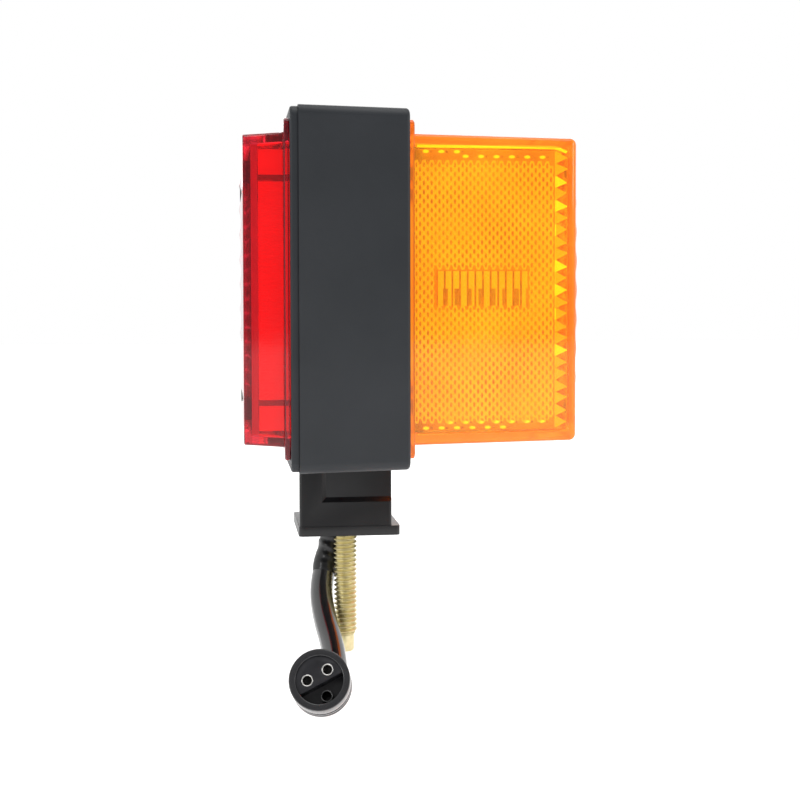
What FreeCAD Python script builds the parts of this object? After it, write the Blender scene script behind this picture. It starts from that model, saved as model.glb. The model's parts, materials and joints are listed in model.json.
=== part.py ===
"""Double-faced pedestal turn and marker lamp: a red face, an amber face and one bulb between.

Frame: millimetres, +Z up. The origin is on the mounting stud's axis, on the underside of the
base plate. -X is the red face, +X the amber face, and the cable hangs below the base plate.
"""
import FreeCAD, Part
import math
import os
import re
import Sketcher

Vector = FreeCAD.Vector
doc = FreeCAD.newDocument("PedestalLamp")

# ---------------------------------------------------------------- driving dimensions
SIZES = {
    # housing: a drafted square shell with a closing frame on its red side
    "centre_height": 64.85,
    "housing_red_x": -15.0,
    "housing_amber_x": 12.0,
    "housing_red_width": 88.8,
    "housing_amber_width": 87.7,
    "housing_cavity": 82.0,
    "housing_corner": 2.6,
    "housing_edge": 0.9,
    "frame_edge": 0.6,
    "amber_wall": 2.6,
    "frame_width": 88.0,
    "frame_thickness": 2.0,
    "opening_half": 36.5,
    # the long screws that clamp both lenses to the housing
    "screw_offset": 29.2,
    "screw_radius": 1.75,
    "screw_clearance": 1.95,
    "screw_seat_x": -26.2,
    "screw_head_radius": 2.5,
    "screw_head_height": 1.7,
    "screw_end_x": 26.0,
    # lenses
    "flange_width": 82.6,
    "flange_thickness": 1.4,
    "lens_root": 76.7,
    "lens_outer": 75.4,
    "lens_wall": 2.0,
    "lens_corner": 1.3,
    "red_face_x": -28.2,
    "red_cavity_x": -26.2,
    "amber_face_x": 55.3,
    "amber_cavity_x": 52.75,
    "post_radius": 3.4,
    "post_overlap": 0.5,
    "counterbore_radius": 2.8,
    "flute_pitch": 7.35,
    "flute_count": 9,
    "flute_depth": 0.5,
    "flute_drop": 0.8,
    "flute_border": 1.5,
    "gasket_half": 39.2,
    "gasket_width": 1.6,
    "gasket_depth": 1.0,
    "backing_thickness": 0.8,
    "reflex_red_x": 16.0,
    "reflex_amber_x": 49.4,
    "reflex_height": 69.6,
    "marker_red_x": 19.6,
    "marker_amber_x": 42.8,
    "marker_bottom": 60.9,
    "marker_top": 69.6,
    # pedestal
    "base_half_x": 13.5,
    "base_half_y": 13.25,
    "base_thickness": 2.55,
    "base_corner": 1.2,
    "neck_top": 23.0,
    "neck_red_x": -13.3,
    "neck_amber_x": 11.3,
    "neck_front_y": -13.0,
    "neck_front_back_y": -10.4,
    "neck_corner": 0.8,
    "core_half": 11.0,
    "core_back_y": 12.0,
    "cavity_half": 9.4,
    "cavity_front_y": -9.3,
    "cavity_back_y": 10.3,
    "recess_depth": 1.3,
    "recess_red_x": -7.4,
    "recess_bottom": 9.0,
    "recess_slope": 1.2,
    "fixing_red_x": -7.6,
    "fixing_amber_x": 6.9,
    "fixing_y": 9.5,
    "fixing_radius": 1.2,
    "fixing_clearance": 1.35,
    "fixing_length": 14.0,
    "fixing_head_radius": 2.2,
    "fixing_head_height": 1.6,
    "fixing_boss_radius": 2.1,
    "fixing_boss_bottom": 9.8,
    # mounting stud, 1/4-20 UNC
    "stud_radius": 3.175,
    "stud_shoulder_radius": 3.6,
    "stud_hole_radius": 3.65,
    "stud_thread_length": 29.4,
    "stud_tip_radius": 2.35,
    "stud_tip_length": 4.7,
    "stud_head_flats": 9.5,
    "stud_head_height": 3.7,
    # bulb: 15 mm bayonet cap, 31.75 mm from its lower pin to its filaments
    "pin_height": 33.1,
    "pin_stagger": 3.2,
    "pin_radius": 1.0,
    "pin_reach": 8.75,
    "cap_radius": 7.6,
    "cap_wall": 0.6,
    "cap_bottom": 27.5,
    "cap_top": 43.6,
    "insulator_bottom": 26.5,
    "insulator_top": 29.5,
    "contact_radius": 1.6,
    "contact_height": 1.0,
    "contact_spread": 2.7,
    "glass_radius": 13.25,
    "glass_height": 63.05,
    "glass_wall": 0.7,
    "glass_neck_radius": 6.7,
    "glass_bottom": 37.0,
    "glass_neck_top": 47.0,
    "stem_radius": 2.4,
    "stem_top": 52.0,
    "filament_half": 3.0,
    "filament_radius": 0.4,
    "filament_gap": 2.6,
    "support_radius": 0.25,
    "support_spread": 1.7,
    # bayonet socket
    "socket_radius": 8.5,
    "socket_wall": 0.6,
    "socket_bottom": 13.5,
    "socket_top": 41.0,
    "slot_clearance": 0.3,
    "cut_margin": 1.0,
    "push_travel": 2.5,
    "turn_travel": 20.0,
    "socket_base_bottom": 12.0,
    "socket_base_top": 16.0,
    "disc_radius": 7.5,
    "disc_bottom": 23.2,
    "disc_top": 24.7,
    "button_radius": 1.4,
    "spring_radius": 6.2,
    "spring_wire_radius": 0.4,
    "spring_turns": 4,
    "spring_corners": 12,
    "socket_plate_red_x": -10.6,
    "socket_plate_amber_x": 9.3,
    "socket_plate_half_y": 12.6,
    "socket_plate_thickness": 1.0,
    "floor_hole_radius": 9.1,
    # leads and cable
    "lead_radius": 0.9,
    "lead_circle": 1.05,
    "pigtail_radius": 0.7,
    "lead_hole_x": -2.6,
    "lead_hole_y": 7.6,
    "lead_hole_radius": 2.2,
    "lead_bend_gap": 1.5,
    "lead_bend_rise": 1.6,
    "cable_radius": 3.2,
    "sleeve_radius": 3.6,
    "sleeve_recess_radius": 3.7,
    "sleeve_recess_depth": 1.2,
    "tab_thickness": 1.0,
    "tab_half": 1.3,
    # plug on the end of the cable
    "plug_face_x": -11.17,
    "plug_face_y": -52.0,
    "plug_face_z": -26.9,
    "plug_tilt": 28.0,
    "plug_turn": 9.7,
    "plug_radius": 7.3,
    "plug_groove_radius": 6.7,
    "plug_mouth_radius": 5.65,
    "plug_rim_width": 4.2,
    "plug_rib_pitch": 1.9,
    "plug_rib_width": 1.2,
    "plug_body_length": 9.6,
    "plug_tail_radius": 3.9,
    "plug_cone_length": 3.0,
    "plug_length": 17.5,
    "plug_pocket_depth": 8.0,
    "insert_setback": 0.5,
    "insert_step_depth": 3.5,
    "insert_step_drop": 0.9,
    "insert_step_angle": 29.0,
    "terminal_radius": 1.45,
    "terminal_bore": 1.1,
    "terminal_length": 7.0,
}

# The three terminals in the plug's face, to the right and up from its middle.
TERMINAL_PLACES = [(-2.9, -0.15), (1.8, 2.5), (1.9, -3.7)]

# The cable's route, from its recess in the base plate to the back of the plug.
CABLE_ROUTE = [
    (-2.6, 7.6, 1.2),
    (-2.6, 7.6, -5.2),
    (-5.3, 6.3, -11.6),
    (-7.5, 2.1, -18.2),
    (-6.9, -4.0, -24.3),
    (-4.8, -10.0, -29.9),
    (-4.0, -16.4, -34.7),
    (-5.4, -23.7, -38.0),
    (-7.52, -30.68, -38.39),
    (-8.56, -36.77, -35.11),
]

# How much of its shorter run each arc of a path takes.
ARC_SHARE = 0.45

sheet = doc.addObject("Spreadsheet::Sheet", "Sizes")
for row, (alias, value) in enumerate(SIZES.items(), start=1):
    sheet.set("A%d" % row, alias)
    sheet.set("B%d" % row, str(value))
    sheet.setAlias("B%d" % row, alias)
doc.recompute()

ALIASES = re.compile(r"\b(%s)\b" % "|".join(sorted(SIZES, key=len, reverse=True)))
nodes = []


def size(alias):
    """The number in a cell of the sheet."""
    return float(getattr(sheet, alias))


def formula(text):
    """An expression whose bare words are the sheet's aliases."""
    return ALIASES.sub(r"Sizes.\1", str(text))


def number(text):
    """What such an expression comes to."""
    return float(sheet.evalExpression(formula(text)))


def bind(item, **formulas):
    """Bind properties of an object to expressions. A double underscore stands for a dot."""
    for prop, text in formulas.items():
        item.setExpression(prop.replace("__", "."), formula(text))
    return item


def node(label, item):
    """Name an object as one of the lamp's pieces."""
    item.Label = label
    nodes.append(item)
    return item


# ---------------------------------------------------------------- primitives and booleans
TURNS = {
    "x": FreeCAD.Rotation(Vector(0, 1, 0), 90),
    "y": FreeCAD.Rotation(Vector(1, 0, 0), -90),
    "z": FreeCAD.Rotation(),
}


def box(name, x, y, z):
    """A block between the low and high ends given for each axis."""
    item = doc.addObject("Part::Box", name)
    spans = [("Length", "x", x), ("Width", "y", y), ("Height", "z", z)]
    for prop, axis, (low, high) in spans:
        item.setExpression(prop, formula("(%s) - (%s)" % (high, low)))
        item.setExpression("Placement.Base." + axis, formula(low))
    return item


def cylinder(name, radius, low, high, at=(0, 0), axis="z"):
    """A cylinder between two places on an axis. The point at is given on the other two axes."""
    item = doc.addObject("Part::Cylinder", name)
    item.Placement = FreeCAD.Placement(Vector(), TURNS[axis])
    bind(item, Radius=radius, Height="(%s) - (%s)" % (high, low))
    item.setExpression("Placement.Base." + axis, formula(low))
    others = [letter for letter in "xyz" if letter != axis]
    for letter, text in zip(others, at):
        item.setExpression("Placement.Base." + letter, formula(text))
    return item


def cone(name, low_radius, high_radius, low, high):
    """A cone on the Z axis between two heights."""
    item = doc.addObject("Part::Cone", name)
    bind(item, Radius1=low_radius, Radius2=high_radius, Height="(%s) - (%s)" % (high, low))
    return bind(item, Placement__Base__z=low)


def sphere(name, radius, height):
    """A sphere on the Z axis."""
    item = doc.addObject("Part::Sphere", name)
    return bind(item, Radius=radius, Placement__Base__z=height)


def turned_box(name, x, y, z, angle):
    """A block like box's, turned about the Z axis by an angle of the sheet."""
    item = box(name, x, y, z)
    item.Placement.Rotation = FreeCAD.Rotation(Vector(0, 0, 1), size(angle))
    turn = "%s * 1 deg" % angle
    across = "(%s) * cos(%s) - (%s) * sin(%s)" % (x[0], turn, y[0], turn)
    along = "(%s) * sin(%s) + (%s) * cos(%s)" % (x[0], turn, y[0], turn)
    item.setExpression("Placement.Base.x", formula(across))
    item.setExpression("Placement.Base.y", formula(along))
    return item


def drafted_block(name, x, widths):
    """A square block along X, on the lamp's centre, whose width changes from end to end."""
    item = doc.addObject("Part::Wedge", name)
    item.Placement = FreeCAD.Placement(Vector(), FreeCAD.Rotation(Vector(0, 0, 1), -90))
    bind(item, Ymin=x[0], Ymax=x[1])
    low = "(%s) / 2" % widths[0]
    high = "(%s) / 2" % widths[1]
    bind(item, Xmin="-" + low, Xmax=low, X2min="-" + high, X2max=high)
    bind(item, Zmin="centre_height - " + low, Zmax="centre_height + " + low)
    return bind(item, Z2min="centre_height - " + high, Z2max="centre_height + " + high)


def join(name, pieces):
    """One solid from several that meet, or one object of several solids that don't."""
    item = doc.addObject("Part::MultiFuse", name)
    item.Shapes = pieces
    return item


def cut(name, base, *tools):
    """A solid less one tool or several."""
    item = doc.addObject("Part::Cut", name)
    item.Base = base
    item.Tool = tools[0] if len(tools) == 1 else join(name + "_tools", list(tools))
    return item


def common(name, first, second):
    """What two solids share."""
    item = doc.addObject("Part::MultiCommon", name)
    item.Shapes = [first, second]
    return item


def round_edges(name, base, radius, chosen, kind="Part::Fillet"):
    """Round those edges of a solid for which chosen is true."""
    doc.recompute()
    item = doc.addObject(kind, name)
    item.Base = base
    reach = size(radius)
    edges = enumerate(base.Shape.Edges, start=1)
    item.Edges = [(index, reach, reach) for index, edge in edges if chosen(edge)]
    return item


def slope_edges(name, base, reach, chosen):
    """Cut a slope on those edges of a solid for which chosen is true."""
    return round_edges(name, base, reach, chosen, "Part::Chamfer")


def lies_at(letter, text):
    """A test for edges that lie on a plane across an axis."""
    place = number(text)

    def test(edge):
        return all(abs(getattr(vertex.Point, letter) - place) < 1e-6 for vertex in edge.Vertexes)
    return test


def runs_along(letter):
    """A test for straight edges that run along an axis, drafted or not."""

    def test(edge):
        ends = [getattr(vertex.Point, letter) for vertex in edge.Vertexes]
        return len(ends) == 2 and abs(ends[0] - ends[1]) > 0.5 * edge.Length
    return test


# ---------------------------------------------------------------- turned bodies
def turned(label, profile):
    """A body turned about its own Z axis. The profile is (radius, height) pairs."""
    body = doc.addObject("PartDesign::Body", label)
    sketch = body.newObject("Sketcher::SketchObject", label + "_profile")
    planes = [feature for feature in body.Origin.OriginFeatures if feature.Role == "XZ_Plane"]
    sketch.AttachmentSupport = [(planes[0], "")]
    sketch.MapMode = "FlatFace"
    corners = [Vector(number(radius), number(height), 0) for radius, height in profile]
    count = len(corners)
    for index in range(count):
        sketch.addGeometry(Part.LineSegment(corners[index], corners[(index + 1) % count]), False)
    for index in range(count):
        sketch.addConstraint(Sketcher.Constraint("Coincident", index, 2, (index + 1) % count, 1))
    for index, (radius, height) in enumerate(profile):
        hold(sketch, index, "DistanceX", -2, radius)
        hold(sketch, index, "DistanceY", -1, height)
    revolution = body.newObject("PartDesign::Revolution", label + "_turn")
    revolution.Profile = sketch
    revolution.ReferenceAxis = (sketch, ["V_Axis"])
    revolution.Angle = 360
    return body


def hold(sketch, index, kind, axis_line, text):
    """Hold a line's first point at a distance from the sketch's origin, or on its axis."""
    value = number(text)
    if abs(value) < 1e-9:
        sketch.addConstraint(Sketcher.Constraint("PointOnObject", index, 1, axis_line))
        return
    place = sketch.addConstraint(Sketcher.Constraint(kind, -1, 1, index, 1, value))
    sketch.setExpression("Constraints[%d]" % place, formula(text))


# ---------------------------------------------------------------- housing
CORNERS = [(side, rise) for side in (-1, 1) for rise in (-1, 1)]


def screw_cylinders(name, radius, low, high):
    """Four cylinders along X, one on each lens screw."""
    pieces = []
    for index, (side, rise) in enumerate(CORNERS, start=1):
        at = ("%d * screw_offset" % side, "centre_height + %d * screw_offset" % rise)
        pieces.append(cylinder("%s_%d" % (name, index), radius, low, high, at, "x"))
    return pieces


def light_opening(name, low, high):
    """An octagon that leaves a land in each corner for a lens screw."""
    item = doc.addObject("Part::Prism", name)
    item.Polygon = 8
    item.Placement = FreeCAD.Placement(Vector(), TURNS["x"] * FreeCAD.Rotation(Vector(0, 0, 1), 22.5))
    bind(item, Circumradius="opening_half / cos(22.5 deg)", Height="(%s) - (%s)" % (high, low))
    return bind(item, Placement__Base__x=low, Placement__Base__z="centre_height")


def square_ring(name, low, high):
    """The band that a lens gasket fills."""
    outer = "2 * gasket_half + 2 * gasket_width"
    inner = "2 * gasket_half"
    solid = drafted_block(name + "_outer", (low, high), (outer, outer))
    return cut(name, solid, drafted_block(name + "_inner", (low, high), (inner, inner)))


def fixing_places():
    """Where the four screws stand that hold the housing to the pedestal."""
    return [(x, y) for x in ("fixing_red_x", "fixing_amber_x") for y in ("-fixing_y", "fixing_y")]


def fixing_cylinders(name, radius, low, high):
    """Four upright cylinders, one on each fixing screw."""
    places = enumerate(fixing_places(), start=1)
    return [cylinder("%s_%d" % (name, index), radius, low, high, at) for index, at in places]


HOUSING_BOTTOM = "centre_height - housing_red_width / 2"
FLOOR_TOP = "centre_height - housing_cavity / 2"
PLATE_TOP = FLOOR_TOP + " + socket_plate_thickness"
WALL_X = "housing_amber_x - amber_wall"
FRAME_X = "housing_red_x - frame_thickness"


def housing_block(name):
    """The housing's drafted outer form."""
    widths = ("housing_red_width", "housing_amber_width")
    block = drafted_block(name + "_block", ("housing_red_x", "housing_amber_x"), widths)
    return round_edges(name, block, "housing_corner", runs_along("x"))


def build_housing():
    cavity_widths = ("housing_cavity", "housing_cavity")
    cavity = drafted_block("housing_hollow", ("housing_red_x", WALL_X), cavity_widths)
    holes = screw_cylinders("housing_screw_hole", "screw_clearance", WALL_X, "housing_amber_x")
    holes += fixing_cylinders("floor_screw_hole", "fixing_clearance", HOUSING_BOTTOM, PLATE_TOP)
    floor_hole = cylinder("floor_hole", "floor_hole_radius", HOUSING_BOTTOM, PLATE_TOP)
    groove = square_ring("housing_groove", "housing_amber_x - gasket_depth", "housing_amber_x")
    opening = light_opening("housing_opening", WALL_X, "housing_amber_x")
    amber_edges = lies_at("x", "housing_amber_x")
    shell = round_edges("housing_shell", housing_block("housing_outside"), "housing_edge", amber_edges)
    node("housing_body", cut("Housing", shell, cavity, floor_hole, groove, opening, *holes))


def build_frame():
    widths = ("frame_width", "frame_width")
    plate = drafted_block("frame_block", (FRAME_X, "housing_red_x"), widths)
    plate = round_edges("frame_plate", plate, "housing_corner", runs_along("x"))
    plate = round_edges("frame_rounded", plate, "frame_edge", lies_at("x", FRAME_X))
    holes = screw_cylinders("frame_screw_hole", "screw_clearance", FRAME_X, "housing_red_x")
    groove = square_ring("frame_groove", FRAME_X, FRAME_X + " + gasket_depth")
    opening = light_opening("frame_opening", FRAME_X, "housing_red_x")
    node("housing_frame", cut("Frame", plate, opening, groove, *holes))


def build_gaskets():
    node("red_lens_gasket", square_ring("RedGasket", FRAME_X, FRAME_X + " + gasket_depth"))
    low = "housing_amber_x - gasket_depth"
    node("amber_lens_gasket", square_ring("AmberGasket", low, "housing_amber_x"))


# ---------------------------------------------------------------- lenses
def build_red_lens():
    flange_x = FRAME_X + " - flange_thickness"
    flange = drafted_block("red_flange_block", (flange_x, FRAME_X), ("flange_width", "flange_width"))
    flange = round_edges("red_flange", flange, "lens_corner", runs_along("x"))
    body = drafted_block("red_block", ("red_face_x", FRAME_X), ("lens_outer", "lens_root"))
    body = round_edges("red_form", body, "lens_corner", runs_along("x"))
    inner = ("lens_outer - 2 * lens_wall", "lens_root - 2 * lens_wall")
    hollow = drafted_block("red_hollow", ("red_cavity_x", FRAME_X), inner)
    shell = cut("red_shell", join("red_outside", [flange, body]), hollow)
    posts = screw_cylinders("red_post", "post_radius", "red_cavity_x - post_overlap", FRAME_X)
    bores = screw_cylinders("red_bore", "screw_clearance", "red_face_x", FRAME_X)
    bores += screw_cylinders("red_counterbore", "counterbore_radius", "red_face_x", "screw_seat_x")
    solid = join("red_solid", [shell] + posts)
    node("red_lens", cut("RedLens", solid, *bores, *flute_cutters()))


def flute_cutters():
    """Cylinders along Y that leave shallow hollows with sharp ridges between them."""
    radius = "((flute_pitch / 2)^2 + flute_depth^2) / (2 * flute_depth)"
    span = ("flute_border - lens_outer / 2", "lens_root / 2")
    cutters = []
    for index in range(int(size("flute_count"))):
        place = "centre_height - flute_drop + (%d - (flute_count - 1) / 2) * flute_pitch" % index
        at = ("red_face_x + flute_depth - " + radius, place)
        cutters.append(cylinder("flute_%d" % (index + 1), radius, *span, at, "y"))
    return cutters


def amber_inside(name, inset):
    """The amber lens's hollow, made smaller all round by an inset."""
    widths = ["%s - 2 * (lens_wall + %s)" % (outer, inset) for outer in ("lens_root", "lens_outer")]
    return drafted_block(name, ("housing_amber_x", "amber_cavity_x"), widths)


def build_amber_lens():
    flange_x = ("housing_amber_x", "housing_amber_x + flange_thickness")
    flange = drafted_block("amber_flange_block", flange_x, ("flange_width", "flange_width"))
    flange = round_edges("amber_flange", flange, "lens_corner", runs_along("x"))
    body = drafted_block("amber_block", ("housing_amber_x", "amber_face_x"), ("lens_root", "lens_outer"))
    body = round_edges("amber_form", body, "lens_corner", runs_along("x"))
    shell = cut("amber_shell", join("amber_outside", [flange, body]), amber_inside("amber_hollow", 0))
    post_end = "amber_cavity_x + post_overlap"
    posts = screw_cylinders("amber_post", "post_radius", "housing_amber_x", post_end)
    bores = screw_cylinders("amber_bore", "screw_radius", "housing_amber_x", "screw_end_x")
    node("amber_lens", cut("AmberLens", join("amber_solid", [shell] + posts), *bores))


def build_backing_plate():
    """A thin wall behind the reflex cells that follows the lens's draft, with a marker window."""
    inner = amber_inside("backing_inner", "backing_thickness")
    wall = cut("backing_wall", amber_inside("backing_outer", 0), inner)
    heights = ("centre_height - reflex_height / 2", "centre_height + reflex_height / 2")
    region = box("backing_region", ("reflex_red_x", "reflex_amber_x"), ("-lens_root / 2", 0), heights)
    marker_x = ("marker_red_x", "marker_amber_x")
    window = box("marker_window", marker_x, ("-lens_root / 2", 0), ("marker_bottom", "marker_top"))
    node("reflex_backing_plate", cut("Backing", common("backing_panel", wall, region), window))


def build_lens_screws():
    head_x = "screw_seat_x - screw_head_height"
    heads = screw_cylinders("screw_head", "screw_head_radius", head_x, "screw_seat_x")
    shanks = screw_cylinders("screw_shank", "screw_radius", "screw_seat_x", "screw_end_x")
    node("lens_screws", join("LensScrews", heads + shanks))


# ---------------------------------------------------------------- pedestal
def build_pedestal():
    half_x = ("-base_half_x", "base_half_x")
    plate = box("base_block", half_x, ("-base_half_y", "base_half_y"), (0, "base_thickness"))
    plate = round_edges("base_plate", plate, "base_corner", runs_along("z"))
    heights = ("base_thickness", "neck_top")
    front_y = ("neck_front_y", "neck_front_back_y")
    front = box("neck_front_block", ("neck_red_x", "neck_amber_x"), front_y, heights)
    front = round_edges("neck_front", front, "neck_corner", runs_along("z"))
    core = box("neck_core", ("-core_half", "core_half"), ("neck_front_back_y", "core_back_y"), heights)
    cavity_y = ("cavity_front_y", "cavity_back_y")
    cavity = box("neck_cavity", ("-cavity_half", "cavity_half"), cavity_y, heights)
    relief_y = ("neck_front_y", "neck_front_y + recess_depth")
    relief_x = ("recess_red_x", "neck_amber_x")
    relief = box("neck_relief_block", relief_x, relief_y, ("recess_bottom", "neck_top"))
    at_back = lies_at("y", relief_y[1])
    at_rim = [lies_at("z", "recess_bottom"), lies_at("x", "recess_red_x")]
    relief = slope_edges("neck_relief", relief, "recess_slope",
                         lambda edge: at_back(edge) and any(test(edge) for test in at_rim))
    hollow = cut("neck_hollow", join("neck", [plate, front, core]), cavity, relief)
    bosses = fixing_cylinders("boss", "fixing_boss_radius", "fixing_boss_bottom", "neck_top")
    solid = join("neck_with_bosses", [hollow] + bosses)
    holes = fixing_cylinders("boss_hole", "fixing_radius", PLATE_TOP + " - fixing_length", "neck_top")
    lead_at = ("lead_hole_x", "lead_hole_y")
    lead_hole = cylinder("lead_hole", "lead_hole_radius", 0, "base_thickness", lead_at)
    recess = cylinder("sleeve_recess", "sleeve_recess_radius", 0, "sleeve_recess_depth", lead_at)
    stud_hole = cylinder("stud_hole", "stud_hole_radius", 0, "base_thickness")
    under = housing_block("neck_trim")
    node("pedestal_bracket", cut("Pedestal", solid, lead_hole, recess, stud_hole, under, *holes))


def build_pedestal_screws():
    head_top = PLATE_TOP + " + fixing_head_height"
    heads = fixing_cylinders("fixing_head", "fixing_head_radius", PLATE_TOP, head_top)
    low = PLATE_TOP + " - fixing_length"
    shanks = fixing_cylinders("fixing_shank", "fixing_radius", low, PLATE_TOP)
    node("pedestal_screws", join("PedestalScrews", heads + shanks))


def build_stud():
    head = doc.addObject("Part::Prism", "stud_head")
    head.Polygon = 6
    bind(head, Circumradius="stud_head_flats / 2 / cos(30 deg)", Height="stud_head_height")
    bind(head, Placement__Base__z="base_thickness")
    shoulder = cylinder("stud_shoulder", "stud_shoulder_radius", 0, "base_thickness")
    shank = cylinder("stud_shank", "stud_radius", "-stud_thread_length", 0)
    low = "-stud_thread_length - stud_tip_length"
    tip = cylinder("stud_tip", "stud_tip_radius", low, "-stud_thread_length")
    node("mounting_stud", join("Stud", [head, shoulder, shank, tip]))


# ---------------------------------------------------------------- socket
def pin_window(name, angle, height):
    """The way a bayonet pin takes through the shell: a push and turn, then straight out."""
    gap = "(pin_radius + slot_clearance)"
    sweep = "pin_reach * sin(turn_travel * 1 deg) + " + gap
    heights = ("%s - push_travel - %s" % (height, gap), "%s + %s" % (height, gap))
    radii = ("cap_radius - cut_margin", "socket_radius + cut_margin")
    window = box(name + "_turn", radii, ("-" + gap, sweep), heights)
    way_heights = (heights[0], "socket_top")
    way_out = turned_box(name + "_out", (0, radii[1]), ("-" + gap, gap), way_heights, "turn_travel")
    both = join(name, [window, way_out])
    both.Placement = FreeCAD.Placement(Vector(), FreeCAD.Rotation(Vector(0, 0, 1), angle))
    return both


def ring(name, outer, inner, low, high):
    """A tube on the Z axis."""
    bore = cylinder(name + "_bore", inner, low, high)
    return cut(name, cylinder(name + "_outer", outer, low, high), bore)


def build_socket():
    inner = "socket_radius - socket_wall"
    shell = ring("socket_tube", "socket_radius", inner, "socket_bottom", "socket_top")
    first = pin_window("low_pin_way", 0, "pin_height")
    second = pin_window("high_pin_way", 180, "pin_height + pin_stagger")
    node("socket_shell", cut("SocketShell", shell, first, second))
    node("socket_base", cylinder("SocketBase", inner, "socket_base_bottom", "socket_base_top"))


def build_socket_plate():
    x = ("socket_plate_red_x", "socket_plate_amber_x")
    y = ("-socket_plate_half_y", "socket_plate_half_y")
    plate = box("socket_plate_block", x, y, (FLOOR_TOP, PLATE_TOP))
    holes = fixing_cylinders("plate_screw_hole", "fixing_clearance", FLOOR_TOP, PLATE_TOP)
    hole = cylinder("plate_hole", "socket_radius", FLOOR_TOP, PLATE_TOP)
    node("socket_plate", cut("SocketPlate", plate, hole, *holes))


def build_ground_tab():
    """A tab on the socket shell that the ground lead ends at."""
    x = ("lead_hole_x - tab_half", "lead_hole_x + tab_half")
    y = ("0", "lead_hole_y + lead_circle + lead_radius")
    tab = box("tab_block", x, y, ("socket_bottom", "socket_bottom + tab_thickness"))
    inside = cylinder("tab_inside", "socket_radius", "socket_bottom", "socket_top")
    node("ground_tab", cut("GroundTab", tab, inside))


def build_spring():
    """A round wire spring between the socket's base and the contact disc, as short arcs."""
    wire_radius = size("spring_wire_radius")
    corners = int(size("spring_corners"))
    count = corners * int(size("spring_turns"))
    reach = size("spring_radius") / math.cos(math.pi / corners)
    low = size("socket_base_top") + wire_radius
    rise = (size("disc_bottom") - wire_radius - low) / count
    points = []
    for index in range(count + 1):
        turn = 2 * math.pi * index / corners
        points.append((reach * math.cos(turn), reach * math.sin(turn), low + rise * index))
    wire, _ = path_with_arcs(points)
    add_shape("socket_spring", tube_along(wire, wire_radius))


def twin_cylinders(name, radius, low, high):
    """Two upright cylinders, one on each side of the bulb's axis."""
    sides = [("red", "-contact_spread"), ("amber", "contact_spread")]
    return [cylinder("%s_%s" % (name, side), radius, low, high, (x, 0)) for side, x in sides]


def build_contact_disc():
    node("contact_disc", cylinder("Disc", "disc_radius", "disc_bottom", "disc_top"))
    contact_low = "insulator_bottom - contact_height"
    buttons = twin_cylinders("button", "button_radius", "disc_top", contact_low)
    node("contact_buttons", join("Buttons", buttons))
    pigtails = twin_cylinders("pigtail", "pigtail_radius", "socket_base_top", "disc_bottom")
    node("contact_pigtails", join("Pigtails", pigtails))


# ---------------------------------------------------------------- bulb
def build_bulb_cap():
    inner = "cap_radius - cap_wall"
    tube = ring("cap_tube", "cap_radius", inner, "cap_bottom", "cap_top")
    low_pin = cylinder("low_pin", "pin_radius", inner, "pin_reach", (0, "pin_height"), "x")
    high_at = (0, "pin_height + pin_stagger")
    high_pin = cylinder("high_pin", "pin_radius", "-pin_reach", "-(%s)" % inner, high_at, "x")
    node("bulb_cap", join("BulbCap", [tube, low_pin, high_pin]))
    node("bulb_insulator", cylinder("Insulator", inner, "insulator_bottom", "insulator_top"))
    low = "insulator_bottom - contact_height"
    contacts = twin_cylinders("contact", "contact_radius", low, "insulator_bottom")
    node("bulb_contacts", join("BulbContacts", contacts))


def glass_form(name, inset, bottom):
    """The bulb's outline, made smaller all round by an inset: a neck, a flare and a ball."""
    neck = cylinder(name + "_neck", "glass_neck_radius - " + inset, bottom, "glass_neck_top")
    spread = "glass_radius * cos(30 deg) - " + inset
    flare_top = "glass_height - glass_radius * sin(30 deg)"
    flare = cone(name + "_flare", "glass_neck_radius - " + inset, spread, "glass_neck_top", flare_top)
    ball = sphere(name + "_ball", "glass_radius - " + inset, "glass_height")
    return join(name, [neck, flare, ball])


def build_glass():
    outside = glass_form("glass_outside", "0", "glass_bottom")
    inside = glass_form("glass_inside", "glass_wall", "glass_bottom + glass_wall")
    node("bulb_glass", cut("Glass", outside, inside))
    node("bulb_stem", cylinder("Stem", "stem_radius", "glass_bottom + glass_wall", "stem_top"))


def build_filaments():
    """Two straight coils, drawn as rods, each on two supports that stand on the stem."""
    pieces = []
    for index, side in enumerate((-1, 1), start=1):
        y = "%d * filament_gap / 2" % side
        name = "filament_%d" % index
        at = (y, "centre_height")
        pieces.append(cylinder(name, "filament_radius", "-filament_half", "filament_half", at, "x"))
        for end in (-1, 1):
            x = "%d * support_spread" % end
            support = "%s_support_%d" % (name, end + 2)
            pieces.append(cylinder(support, "support_radius", "stem_top", "centre_height", (x, y)))
    node("bulb_filaments", join("Filaments", pieces))


# ---------------------------------------------------------------- leads and cable
def path_with_arcs(points):
    """Straight runs joined by tangent arcs, each as large as its two runs allow."""
    points = [Vector(*point) for point in points]
    lengths = [(after - before).Length for before, after in zip(points, points[1:])]
    edges = []
    radii = []
    last = points[0]
    for index in range(1, len(points) - 1):
        corner = points[index]
        back = (points[index - 1] - corner).normalize()
        ahead = (points[index + 1] - corner).normalize()
        half_turn = (math.pi - back.getAngle(ahead)) / 2
        reach = ARC_SHARE * min(lengths[index - 1], lengths[index])
        radius = reach / math.tan(half_turn)
        middle = corner + (back + ahead).normalize() * (radius / math.cos(half_turn) - radius)
        start = corner + back * reach
        end = corner + ahead * reach
        edges.append(Part.LineSegment(last, start).toShape())
        edges.append(Part.Arc(start, middle, end).toShape())
        radii.append(radius)
        last = end
    edges.append(Part.LineSegment(last, points[-1]).toShape())
    return Part.Wire(edges), radii


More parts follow.
